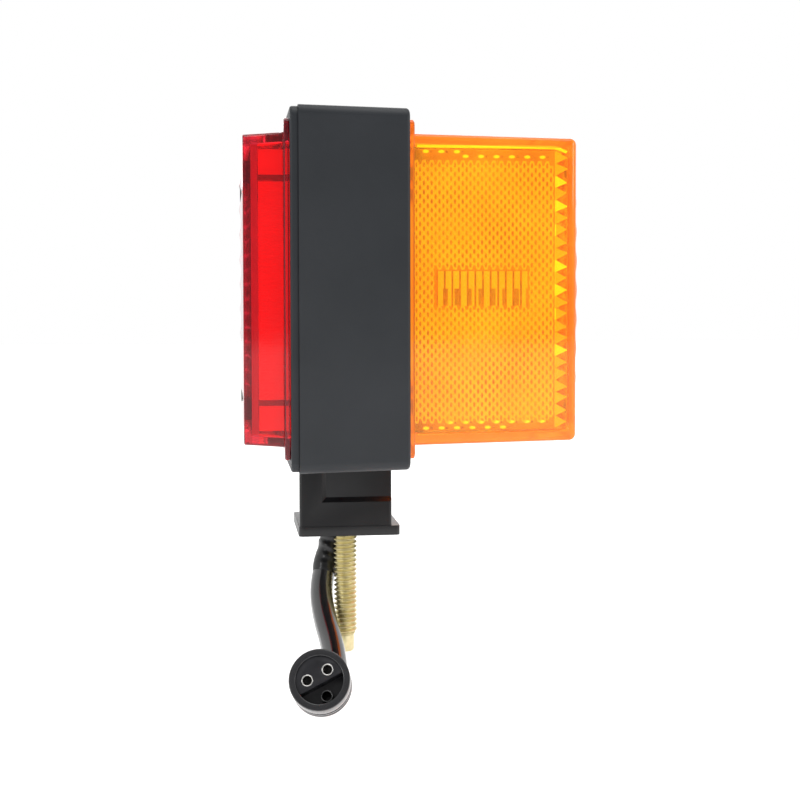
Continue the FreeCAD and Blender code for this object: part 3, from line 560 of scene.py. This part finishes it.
def make_red_lens():
    """The red lens, whose far edge is scalloped by the flutes, with posts for the long screws."""
    dark_end = 10.4
    sizes = dict(SHARED_SIZES, rim=37.75, depth=RED_DEPTH, cavity=RED_CAVITY, edge=0.4,
                 bands=(RED_COLLAR, RED_CAVITY, dark_end))
    mesh = lens_shell(RED_SEAT, -1, sizes, red_face, red_inside)
    for vert in mesh.verts:
        if vert.co.y > 35.6 and vert.co.x < RED_SEAT - 10.6:
            vert.co.x += flute(vert.co.z - CENTRE)
    lens = finish_piece("red_lens_shell", mesh, "red_plastic", replaced=["red_lens"],
                        extra=["red_deep", "red_dark", "screw_black_and_seat_shade"])
    combine(lens, [
        ("UNION", rods_object("posts", POST, RED_SEAT - 9.6, RED_SEAT)),
        ("DIFFERENCE", rods_object("bores", 1.95, RED_SEAT - 14, RED_SEAT + 1)),
        ("DIFFERENCE", rods_object("seats", SCREW_SEAT, RED_SEAT - 14, RED_SEAT - RED_CAVITY)),
    ])
    paint(lens, 1, lambda x, reach, middle: reach > ON_FLANGE)
    paint(lens, 1, lambda x, reach, middle: reach > ON_WALL and x < RED_SEAT - RED_COLLAR)
    paint(lens, 2, lambda x, reach, middle:
          reach > ON_WALL and RED_SEAT - dark_end < x < RED_SEAT - RED_CAVITY)
    # Painted shade: the wall of each screw's recess takes the black of the screws.
    paint(lens, 3, in_shaded_screw_seat)


def in_shaded_screw_seat(x, reach, middle):
    """On the wall of the recess round a screw's head, which is painted black as painted shade."""
    off_axis = math.hypot(abs(middle.y) - SCREW_OFFSET, abs(middle.z - CENTRE) - SCREW_OFFSET)
    return x < RED_SEAT - RED_CAVITY - 0.1 and off_axis < SCREW_SEAT + 0.03


def make_red_details():
    """A collar behind the red face, and ribbed light guides inside the two side walls, both painted glowing
    as painted light.
    """
    mesh = bmesh.new()
    low = RED_SEAT - RED_CAVITY + 0.05
    high = RED_SEAT - RED_COLLAR
    section = [(low, 35.6), (high, 35.75), (high, 34.6), (high - 0.25, 34.35), (low, 34.3)]
    bridge(mesh, [square_loop(x, half, 0.8) for x, half in section], ring=True)
    collar = finish_piece("red_lens_collar", mesh, "red_plastic", extra=["red_collar_painted_glow"])
    paint_all(collar, 1)
    mesh = bmesh.new()
    along = (RED_SEAT - 7.4, RED_SEAT - 0.3)
    for side in (-1, 1):
        add_ribs(mesh, side, along, (-26.8, 26.8), 0.65)
        for rise in (-1, 1):
            add_ribs(mesh, side, along, sorted((rise * 28.2, rise * 34.4)), 3.05)
    guides = finish_piece("red_light_guides", mesh, "red_plastic", smooth_angle=60, extra=["red_guide_painted_glow"])
    paint_all(guides, 1)


def add_ribs(mesh, side, x, z, pitch):
    """A closed strip with ridges along X, on the inside of a side wall."""
    wall = side * 34.9
    count = int((z[1] - z[0]) / pitch)
    outline = [(wall, z[0])]
    for index in range(count):
        for share, height in ((0.0, 0.6), (0.35, 0.72), (0.65, 0.72)):
            outline.append((wall + side * height, z[0] + (index + share) * pitch))
    outline.append((wall + side * 0.6, z[0] + count * pitch))
    outline.append((wall, z[0] + count * pitch))
    bridge_closed(mesh, [[Vector((place, y, CENTRE + height)) for y, height in outline] for place in x])


AMBER_DEPTH = 42.8
AMBER_CAVITY = 40.75


def amber_face(y, z):
    """A low crown with soft scallops along Y."""
    crown = 0.5 * (1 - (z / 37.0) ** 2)
    scallop = 0.12 * math.cos(2 * math.pi * z / FLUTE_PITCH)
    return AMBER_SEAT + AMBER_DEPTH + crown + scallop - 0.12


def amber_inside(y, z):
    return AMBER_SEAT + AMBER_CAVITY + pillow(y, z)


def make_amber_lens():
    """The amber lens, deeper than the red one, with posts that the long screws end in."""
    sizes = dict(SHARED_SIZES, rim=37.7, depth=AMBER_DEPTH, cavity=AMBER_CAVITY, edge=1.6,
                 bands=(2.4, AMBER_CAVITY))
    mesh = lens_shell(AMBER_SEAT, 1, sizes, amber_face, amber_inside)
    lens = finish_piece("amber_lens_shell", mesh, "amber_plastic", replaced=["amber_lens"],
                        extra=["amber_edge_painted_glow"])
    combine(lens, [
        ("UNION", rods_object("posts", POST, AMBER_SEAT, AMBER_SEAT + AMBER_CAVITY + 0.4)),
        ("DIFFERENCE", rods_object("bores", 1.78, AMBER_SEAT - 1, AMBER_SEAT + 14.2)),
    ])
    # Painted light: the face, flange and the top and bottom of the wall take the deeper, faintly glowing
    # amber.
    paint(lens, 1, lambda x, reach, middle: reach > ON_FLANGE or x > AMBER_SEAT + AMBER_CAVITY)
    paint(lens, 1, lambda x, reach, middle: reach > ON_WALL and abs(middle.z - CENTRE) > 35.3)


def solid_from_sheet(piece, thickness):
    """Give an open sheet that faces -Y a back, so that it is a closed piece."""
    mesh = bmesh.new()
    mesh.from_mesh(piece.data)
    for face in mesh.faces:
        if face.normal.y > 0:
            face.normal_flip()
    mesh.to_mesh(piece.data)
    mesh.free()
    modifier = piece.modifiers.new("back", "SOLIDIFY")
    modifier.thickness = thickness * MM
    modifier.offset = -1


# ---------------------------------------------------------------- reflex panel
CELL_WIDTH = 1.95
CELL_ROW = 1.12
PIT_SHARE = 0.55
REFLEX_X = (13.4, 49.3)
REFLEX_HALF = 32.4
MARKER_X = (19.6, 42.8)
MARKER_Z = (60.9, 69.6)


def inner_wall(x, gap=0.05):
    """The place in Y where the amber lens's near wall ends inside, at a place along X."""
    share = (x - AMBER_SEAT) / AMBER_CAVITY
    return -(36.35 - 0.65 * share) + gap


def inside_marker(x, z, margin):
    """True inside the marker window, made larger by a margin."""
    across = MARKER_X[0] - margin < x < MARKER_X[1] + margin
    return across and MARKER_Z[0] - margin < z < MARKER_Z[1] + margin


def make_reflex_cells():
    """Cube corners in a honeycomb, each a pit whose rim stands high at every other corner."""
    mesh = bmesh.new()
    columns = int((REFLEX_X[1] - REFLEX_X[0]) / (CELL_WIDTH / 2))
    rows = int(2 * REFLEX_HALF / CELL_ROW)
    for column in range(columns):
        x = REFLEX_X[0] + (column + 1) * CELL_WIDTH / 2
        for row in range(rows):
            z = CENTRE - REFLEX_HALF + (row + 0.5) * CELL_ROW
            if (row + column) % 2 == 0 and not inside_marker(x, z, 0.4):
                add_cell(mesh, x, z)
    cells = finish_piece("reflex_cells", mesh, "reflex_back", smooth_angle=5,
                         extra=["reflex_cell", "reflex_painted_glow"])
    # Painted shade in the pits and painted light on the rims: pits take the darker glowing amber, the
    # raised rims the brighter one.
    paint_all(cells, 1)
    for polygon in cells.data.polygons:
        if len(polygon.vertices) == 4:
            polygon.material_index = 2
    solid_from_sheet(cells, 0.25)


def make_reflex_panel():
    """The wall behind the cells, which follows the lens and leaves the marker's window open."""
    mesh = bmesh.new()
    places = (13.6, MARKER_X[0], MARKER_X[1], 50.3)
    heights = (CENTRE - 34.8, MARKER_Z[0], MARKER_Z[1], CENTRE + 34.8)
    rows = [[mesh.verts.new((x, inner_wall(x, 1.0), z)) for x in places] for z in heights]
    for row in range(3):
        for column in range(3):
            if (row, column) != (1, 1):
                low, high = rows[row], rows[row + 1]
                mesh.faces.new((low[column], low[column + 1], high[column + 1], high[column]))
    panel = finish_piece("reflex_panel", mesh, "reflex_back", replaced=["reflex_backing_plate"],
                         extra=["reflex_cell"])
    # Painted light: the panel takes the faintly glowing amber of the cell pits.
    paint_all(panel, 1)
    solid_from_sheet(panel, 0.4)


def add_cell(mesh, x, z):
    """One hexagonal cell."""
    wall = inner_wall(x)
    ring = []
    pit = []
    for corner in range(6):
        turn = math.pi / 3 * corner
        depth = 0.0 if corner % 2 else 0.25
        across = CELL_WIDTH / 3 * math.cos(turn)
        rise = CELL_ROW / math.sin(math.pi / 3) * math.sin(turn)
        ring.append(mesh.verts.new((x + across, wall + depth, z + rise)))
        deeper = depth + (0.6 - depth) * (1 - PIT_SHARE)
        pit.append(mesh.verts.new((x + across * PIT_SHARE, wall + deeper, z + rise * PIT_SHARE)))
    middle = mesh.verts.new((x, wall + 0.6, z))
    for corner in range(6):
        after = (corner + 1) % 6
        mesh.faces.new((ring[corner], ring[after], pit[after], pit[corner]))
        mesh.faces.new((pit[corner], pit[after], middle))


def make_marker_window():
    """Upright flutes behind the amber lens, where the marker's light comes through."""
    mesh = bmesh.new()
    count = 12
    pitch = (MARKER_X[1] - MARKER_X[0]) / count
    steps = 8
    outline = []
    for index in range(count * steps + 1):
        x = MARKER_X[0] + index * pitch / steps
        swell = abs(math.sin(math.pi * index / steps)) ** 0.5
        outline.append((x, inner_wall(x) + 0.75 - 0.6 * swell))
    outline.append((MARKER_X[1], inner_wall(MARKER_X[1]) + 1.3))
    outline.append((MARKER_X[0], inner_wall(MARKER_X[0]) + 1.3))
    levels = [MARKER_Z[0] + (MARKER_Z[1] - MARKER_Z[0]) * index / 10 for index in range(11)]
    bridge_closed(mesh, [[Vector((x, y, z)) for x, y in outline] for z in levels])
    window = finish_piece("marker_window", mesh, "reflex_back", smooth_angle=60,
                          extra=["amber_painted_shade", "reflex_painted_glow", "reflex_cell"])

    def in_groove(x):
        return abs(((x - MARKER_X[0]) / pitch + 0.5) % 1.0 - 0.5) < 0.16

    middle_z = sum(MARKER_Z) / 2
    # Painted light: the window glows bright amber, its lower half partly a dimmer glowing amber; the
    # grooves take the dark amber as painted shade.
    paint_all(window, 2)
    paint(window, 3, lambda x, reach, middle: middle.z < middle_z and math.sin(x * 2.1) > 0.2)
    paint(window, 1, lambda x, reach, middle: in_groove(x))


def make_edge_prisms():
    """A column of teeth where the side wall meets the amber face, painted glowing bright as painted
    highlights.
    """
    mesh = bmesh.new()
    pitch = 3.0
    count = 23
    root = 49.75
    for side in (-1, 1):
        for index in range(count):
            middle = CENTRE + (index - (count - 1) / 2) * pitch
            half = pitch / 2 - 0.05
            tip = 52.6 - 0.25 * abs(math.sin(2.3 * index + side))
            peak = middle + 0.25 * math.sin(3.7 * index)
            outline = [(root, middle - half), (tip, peak - 0.12), (tip, peak + 0.12), (root, middle + half)]
            near = inner_wall(51.0, 0.1)
            levels = (near, near + 1.1)
            bridge_closed(mesh, [[Vector((x, side * -y, z)) for x, z in outline] for y in levels])
    teeth = finish_piece("edge_prisms", mesh, "reflex_back", smooth_angle=10,
                         extra=["reflex_painted_glow", "amber_painted_highlight"])
    # Painted highlights: the teeth glow, some of them brighter still.
    paint_all(teeth, 1)
    paint(teeth, 2, lambda x, reach, middle: math.sin(middle.z * 0.9) > 0.35 and middle.z > CENTRE - 20)


def add_bead(mesh, x, z, length, height):
    """A small lens-shaped bead on the near wall of the amber lens."""
    place = Matrix.Translation((x, inner_wall(x, 0.35), CENTRE + z))
    form = Matrix.Diagonal((length, 0.3, height, 1))
    bmesh.ops.create_icosphere(mesh, subdivisions=2, radius=1, matrix=place @ form)


# How many beads, where the first is along X, and how far up or down from the middle.
BEAD_ROWS = [(3, 16.8, 34.15), (6, 26.8, 33.05), (6, 16.8, -34.2), (7, 22.9, -32.9)]


def make_edge_beads():
    """Beads inside the amber lens's top and bottom walls, painted glowing as highlights, each with a
    smaller dark bead beside it as a painted shadow.
    """
    bright = bmesh.new()
    dark = bmesh.new()
    for count, start, rise in BEAD_ROWS:
        for index in range(count):
            x = start + index * 3.9
            add_bead(bright, x, rise, 0.8, 0.42)
            add_bead(dark, x + 1.35, rise, 0.4, 0.35)
    beads = finish_piece("edge_beads", bright, "reflex_back", smooth_angle=60, extra=["amber_painted_highlight"])
    paint_all(beads, 1)
    # Painted shadow: a small dark bead beside each bright one.
    spots = finish_piece("edge_bead_painted_shadows", dark, "reflex_back", smooth_angle=60, extra=["amber_painted_shade"])
    paint_all(spots, 1)


def make_edge_lines():
    """A painted highlight line inside the amber lens's top edge, turned down at its end, and a dark line of
    painted shade inside the bottom edge.
    """
    for name, side, radius, tint in (("top", 1, 0.38, "amber_painted_highlight"), ("bottom", -1, 0.2, "amber_painted_shade")):
        mesh = bmesh.new()
        path = []
        for index in range(25):
            share = index / 24
            x = 14.5 + 38.0 * share
            drop = 1.1 * max(0.0, (share - 0.9) / 0.1) ** 2
            path.append(Vector((x, inner_wall(x, 0.45), CENTRE + side * (35.5 - drop))))
        add_tube(mesh, path, [radius] * len(path), steps=8)
        line = finish_piece("painted_edge_line_" + name, mesh, "reflex_back", smooth_angle=60, extra=[tint])
        paint_all(line, 1)


def add_tube(mesh, path, radii, steps=24, closed_ends=True, shape=None):
    """A tube along points, with a radius at each. shape(index, turn) may change the radius."""
    side = None
    rows = []
    for index, point in enumerate(path):
        ahead = (path[min(index + 1, len(path) - 1)] - path[max(index - 1, 0)]).normalized()
        if side is None:
            side = ahead.orthogonal().normalized()
        side = (side - ahead * side.dot(ahead)).normalized()
        other = ahead.cross(side)
        row = []
        for step in range(steps):
            turn = 2 * math.pi * step / steps
            radius = radii[index] + (shape(index, turn) if shape else 0)
            row.append(mesh.verts.new(point + (side * math.cos(turn) + other * math.sin(turn)) * radius))
        rows.append(row)
    for low, high in zip(rows, rows[1:]):
        for step in range(steps):
            after = (step + 1) % steps
            mesh.faces.new((low[step], low[after], high[after], high[step]))
    if closed_ends:
        mesh.faces.new(rows[0])
        mesh.faces.new(rows[-1])
    return rows


# ---------------------------------------------------------------- edges of moulded pieces
def round_cad_piece(node, name, slot_name, width, body="lamp"):
    """A copy of a CAD piece with softened edges, which stands for it."""
    source = frame["nodes"][node]
    mesh = bmesh.new()
    mesh.from_mesh(source.data)
    bmesh.ops.transform(mesh, matrix=source.matrix_world, verts=mesh.verts)
    bmesh.ops.remove_doubles(mesh, verts=mesh.verts, dist=1e-6)
    flat = math.radians(0.6)
    bmesh.ops.dissolve_limit(mesh, angle_limit=flat, verts=mesh.verts, edges=mesh.edges)
    bmesh.ops.recalc_face_normals(mesh, faces=mesh.faces)
    data = bpy.data.meshes.new(name)
    mesh.to_mesh(data)
    mesh.free()
    data.shade_smooth()
    data.materials.append(materials[slot_name])
    piece = bpy.data.objects.new(name, data)
    bpy.context.collection.objects.link(piece)
    bevel = piece.modifiers.new("edges", "BEVEL")
    bevel.width = width * MM
    bevel.segments = 3
    bevel.limit_method = "ANGLE"
    bevel.angle_limit = math.radians(40)
    bevel.use_clamp_overlap = True
    bevel.harden_normals = True
    return settle(piece, body, [node])


# ---------------------------------------------------------------- mounting stud
PITCH = 1.27
STUD = mounts["stud"]["dims"]["r_mm"]
STUD_END = -29.4
TIP_END = -34.1
HEAD = (2.55, 6.25)
HEAD_FLATS = 9.5


def make_stud():
    """A hexagon head, a threaded shank and a plain tip."""
    mesh = bmesh.new()
    corner = HEAD_FLATS / 2 / math.cos(math.pi / 6)
    levels = ((HEAD[0], 0.97), (HEAD[0] + 0.2, 1), (HEAD[1] - 0.5, 1), (HEAD[1], 0.9))
    bridge_closed(mesh, [circle(corner * share, height, 6) for height, share in levels])
    add_thread(mesh, STUD_END, HEAD[0] + 0.1)
    tip = [(0, TIP_END), (1.9, TIP_END), (2.3, TIP_END + 0.4), (2.35, STUD_END - 0.1), (0, STUD_END + 0.4)]
    lathe(mesh, tip, steps=48)
    finish_piece("stud_with_thread", mesh, "yellow_zinc", replaced=["mounting_stud"], smooth_angle=75)


def thread_depth(height, turn):
    """How far the thread is cut in below its crest, at a height and a turn."""
    place = ((height / PITCH) - turn / (2 * math.pi)) % 1.0
    flank = abs(place - 0.5) * 2
    cut = min(max((0.88 - flank) / 0.76, 0.0), 1.0)
    return 0.7 * cut


def add_thread(mesh, low, high):
    """The screw's skin, as a grid of heights and turns."""
    steps = 72
    per_pitch = 20
    count = int((high - low) / PITCH * per_pitch)
    loops = []
    for index in range(count + 1):
        height = low + (high - low) * index / count
        lead_in = 0.75 * max(0.0, 1 - (height - low) / 0.9)
        loop = []
        for step in range(steps):
            turn = 2 * math.pi * step / steps
            radius = min(STUD - thread_depth(height, turn), STUD - lead_in)
            loop.append(Vector((radius * math.cos(turn), radius * math.sin(turn), height)))
        loops.append(loop)
    bridge_closed(mesh, loops)


# ---------------------------------------------------------------- cable and plug
CABLE_ROUTE = [
    (-0.0026, 0.0076, 0.0012),
    (-0.0026, 0.0076, -0.0052),
    (-0.0052, 0.0056, -0.0114),
    (-0.0068, 0.0017, -0.0182),
    (-0.0061, -0.0038, -0.0243),
    (-0.0045, -0.0098, -0.0299),
    (-0.0040, -0.0164, -0.0347),
    (-0.0054, -0.0237, -0.0380),
    (-0.00752, -0.03068, -0.03839),
    (-0.00856, -0.03677, -0.03511),
]
CABLE_RADIUS = 3.2


def make_cable():
    """The jacket, a smooth line through the route's points, and the points that line passes."""
    data = bpy.data.curves.new("lamp_cable", "CURVE")
    data.dimensions = "3D"
    line = data.splines.new("NURBS")
    line.points.add(len(CABLE_ROUTE) - 1)
    for point, place in zip(line.points, CABLE_ROUTE):
        point.co = (*place, 1)
    line.order_u = 3
    line.use_endpoint_u = True
    line.resolution_u = 24
    cable = bpy.data.objects.new("lamp_cable", data)
    bpy.context.collection.objects.link(cable)
    graph = bpy.context.evaluated_depsgraph_get()
    sampled = bpy.data.meshes.new_from_object(cable.evaluated_get(graph))
    path = [vert.co / MM for vert in sampled.vertices]
    data.bevel_depth = CABLE_RADIUS * MM
    data.bevel_resolution = 8
    data.use_fill_caps = True
    data.materials.append(materials["cable_vinyl"])
    settle(cable, replaced=["cable_jacket"])
    return cable, path


def make_sleeve(path):
    """A shrunk sleeve over the cable's start, wrinkled, and tapered at its lower end."""
    travelled = [0.0]
    for before, after in zip(path, path[1:]):
        travelled.append(travelled[-1] + (after - before).length)
    length = 15.6
    covered = [place for place, distance in zip(path, travelled) if distance <= length]
    count = len(covered)
    mesh = bmesh.new()

    def wrinkle(index, turn):
        z = travelled[index]
        wave = noise.noise(Vector((math.cos(turn) * 1.3, math.sin(turn) * 1.3, z * 0.55)))
        ring = 0.12 * math.sin(z * 1.9 + 1.4 * math.sin(turn))
        return 0.3 * wave + ring * (0.4 + 0.6 * abs(wave))

    radii = []
    for index in range(count):
        share = travelled[index] / length
        radii.append(3.56 + 0.08 * share - 0.3 * max(0.0, (share - 0.86) / 0.14))
    steps = 40
    outer = add_tube(mesh, covered, radii, steps, closed_ends=False, shape=wrinkle)
    inner = add_tube(mesh, covered, [CABLE_RADIUS - 0.05] * count, steps, closed_ends=False)
    for first, second in ((outer[0], inner[0]), (outer[-1], inner[-1])):
        for step in range(steps):
            after = (step + 1) % steps
            mesh.faces.new((first[step], first[after], second[after], second[step]))
    return finish_piece("cable_sleeve_wrinkled", mesh, "sleeve_vinyl", replaced=["cable_sleeve"],
                        smooth_angle=70)


def plug_frame():
    """The plug's turn, whose Z runs out of its face and X to its right, and the way out of its face."""
    pose = mounts["plug_rim"]
    out = Vector(pose["axis"]).normalized()
    right = out.cross(Vector((0, 0, 1))).normalized() * -1
    up = out.cross(right)
    turn = Matrix((right, up, out)).transposed()
    return turn, out


def make_plug():
    """The rubber plug with its ribs, a softened copy of its carrier, and its terminals."""
    turn, out = plug_frame()
    face = Vector(mounts["plug_rim"]["pos_m"]) / MM + out * mounts["plug_rim"]["dims"]["length_mm"] / 2
    rim, groove, mouth, tail = 7.3, 6.7, 5.65, 3.9
    corners = [(0, -8), (mouth, -8), (mouth, 0), (rim, 0), (rim, -4.2), (groove, -4.2)]
    for rib in range(2):
        front = -4.9 - 1.9 * rib
        corners += [(groove, front), (rim, front), (rim, front - 1.2), (groove, front - 1.2)]
    corners += [(groove - 0.1, -9.6), (tail, -12.6), (tail, -17.5), (0, -17.5)]
    mesh = bmesh.new()
    place = Matrix.Translation(face) @ turn.to_4x4()
    lathe(mesh, rounded_profile(corners, 0.32), place, steps=96)
    plug = finish_piece("plug_shell", mesh, "plug_rubber", replaced=["plug_body"], smooth_angle=50)
    carrier = round_cad_piece("plug_insert", "plug_carrier", "plug_carrier", 0.25)
    return [plug, carrier, make_terminals(turn)]


def make_terminals(turn):
    """Three tinned tubes with rolled mouths. The third, in the carrier's low half, is painted darker as
    painted shade.
    """
    mesh = bmesh.new()
    half = mounts["terminal_1"]["dims"]["length_mm"] / 2
    profile = [(1.1, -half), (1.1, half - 0.2), (1.15, half - 0.06), (1.27, half), (1.39, half - 0.05),
               (1.45, half - 0.2), (1.45, -half)]
    for index in (1, 2, 3):
        tube = bmesh.new()
        middle = Vector(mounts["terminal_%d" % index]["pos_m"]) / MM
        lathe(tube, profile, Matrix.Translation(middle) @ turn.to_4x4(), steps=40)
        for face in tube.faces:
            face.material_index = 1 if index == 3 else 0
        part = bpy.data.meshes.new("terminal")
        tube.to_mesh(part)
        tube.free()
        mesh.from_mesh(part)
        bpy.data.meshes.remove(part)
    return finish_piece("plug_sockets", mesh, "terminal_metal", replaced=["plug_terminals"],
                        smooth_angle=60, extra=["terminal_dull"])


def declare_cord():
    """The cable with its sleeve and plug."""
    cable, path = make_cable()
    sleeve = make_sleeve(path)
    pieces = make_plug()


# ---------------------------------------------------------------- bulb and socket
def make_filaments():
    """Two fine coils, each on two supports that stand on the glass stem."""
    mesh = bmesh.new()
    turns = 9
    for y in (-1.3, 1.3):
        coil = []
        for index in range(turns * 12 + 1):
            turn = 2 * math.pi * index / 12
            x = -2.2 + 4.4 * index / (turns * 12)
            coil.append(Vector((x, y + 0.3 * math.cos(turn), CENTRE + 0.3 * math.sin(turn))))
        path = [Vector((-3.0, y, CENTRE))] + coil + [Vector((3.0, y, CENTRE))]
        add_tube(mesh, path, [0.1] * len(path), steps=6)
        for side in (-1, 1):
            support = [Vector((side * 1.7, y, 52.0)), Vector((side * 1.8, y, 58.0)),
                       Vector((side * 2.6, y, 63.5)), Vector((side * 2.9, y, CENTRE))]
            add_tube(mesh, support, [0.25] * 4, steps=10)
    finish_piece("filament_coils", mesh, "tungsten", "bulb", ["bulb_filaments"], smooth_angle=60)


SPRING_FOOT = 16.0
SPRING_TOP = 23.2
SPRING_RADIUS = 6.2
SPRING_WIRE = 0.4
SPRING_TURNS = 5
LEAD_RADIUS = 0.7


def squeeze(piece):
    """Give the piece a mesh of its own."""
    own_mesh(piece)


def make_socket_spring():
    """A coil with flat end turns between the socket's base and the contact disc."""
    mesh = bmesh.new()
    per_turn = 24
    count = SPRING_TURNS * per_turn
    path = []
    for index in range(count + 1):
        turn = 2 * math.pi * index / per_turn
        rise = min(max((index / count - 0.1) / 0.8, 0), 1)
        height = SPRING_FOOT + SPRING_WIRE + (SPRING_TOP - SPRING_FOOT - 2 * SPRING_WIRE) * rise
        path.append(Vector((SPRING_RADIUS * math.cos(turn), SPRING_RADIUS * math.sin(turn), height)))
    add_tube(mesh, path, [SPRING_WIRE] * len(path), steps=12)
    squeeze(finish_piece("socket_spring_coil", mesh, "spring_steel", replaced=["socket_spring"],
                         smooth_angle=60))


def make_contact_leads():
    """Two short leads, slightly bowed, from the socket's base to the contact disc."""
    mesh = bmesh.new()
    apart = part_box("contact_pigtails")[1].x / MM - LEAD_RADIUS
    for side in (-1, 1):
        path = []
        for index in range(13):
            share = index / 12
            bow = 0.6 * math.sin(math.pi * share)
            height = SPRING_FOOT + (SPRING_TOP - SPRING_FOOT) * share
            path.append(Vector((side * apart, side * bow, height)))
        add_tube(mesh, path, [LEAD_RADIUS] * len(path), steps=20)
    squeeze(finish_piece("contact_leads", mesh, "lead_brown", replaced=["contact_pigtails"],
                         smooth_angle=60))


# ---------------------------------------------------------------- stage
def make_floor():
    """A plain white floor below the plug."""
    mesh = bmesh.new()
    bmesh.ops.create_grid(mesh, x_segments=8, y_segments=8, size=4)
    floor = link_object("floor", mesh, "floor_white")
    floor.location.z = -0.058


def make_lights():
    """Four soft boxes, and a world that is white to the camera and lights more from behind."""
    world = bpy.data.worlds.new("studio")
    world.use_nodes = True
    tree = world.node_tree
    background = tree.nodes["Background"]
    heading = tree.nodes.new("ShaderNodeTexCoord")
    parts = tree.nodes.new("ShaderNodeSeparateXYZ")
    tree.links.new(heading.outputs["Generated"], parts.inputs["Vector"])
    glow = add_ramp(tree, add_range(tree, parts.outputs["Y"], -0.9, 0.7), (0.3, 0.3, 0.3), (1, 1, 1), 0, 1)
    seen = tree.nodes.new("ShaderNodeLightPath")
    choice = tree.nodes.new("ShaderNodeMix")
    choice.data_type = "RGBA"
    choice.inputs["B"].default_value = (1, 1, 1, 1)
    tree.links.new(seen.outputs["Is Camera Ray"], choice.inputs["Factor"])
    tree.links.new(glow, choice.inputs["A"])
    tree.links.new(choice.outputs["Result"], background.inputs["Color"])
    bpy.context.scene.world = world
    lights = [
        ("top", (0.05, -0.15, 0.75), 0.5, 1.6),
        ("left", (-0.75, -0.55, 0.35), 0.3, 1.0),
        ("right", (0.75, -0.5, 0.3), 0.3, 1.0),
        ("back", (0.1, 0.8, 0.45), 0.6, 1.6),
    ]
    for name, place, wide, power in lights:
        data = bpy.data.lights.new(name, "AREA")
        data.size = wide
        data.energy = power
        light = bpy.data.objects.new(name, data)
        light.location = place
        aim = Vector((0, 0, 0.04)) - Vector(place)
        light.rotation_euler = aim.to_track_quat("-Z", "Y").to_euler()
        bpy.context.collection.objects.link(light)


# ---------------------------------------------------------------- the lamp
make_camera()
dress_cad_nodes()
declare_cord()
make_red_lens()
make_red_details()
make_amber_lens()
make_reflex_cells()
make_reflex_panel()
make_marker_window()
make_edge_prisms()
make_edge_beads()
make_edge_lines()
round_cad_piece("housing_body", "housing_shell", "housing_plastic", 0.5)
round_cad_piece("housing_frame", "frame_shell", "housing_plastic", 0.45)
round_cad_piece("pedestal_bracket", "pedestal", "pedestal_plastic", 0.45)
make_stud()
make_filaments()
make_socket_spring()
make_contact_leads()
make_floor()
make_lights()
bpy.context.scene.view_settings.view_transform = "Standard"
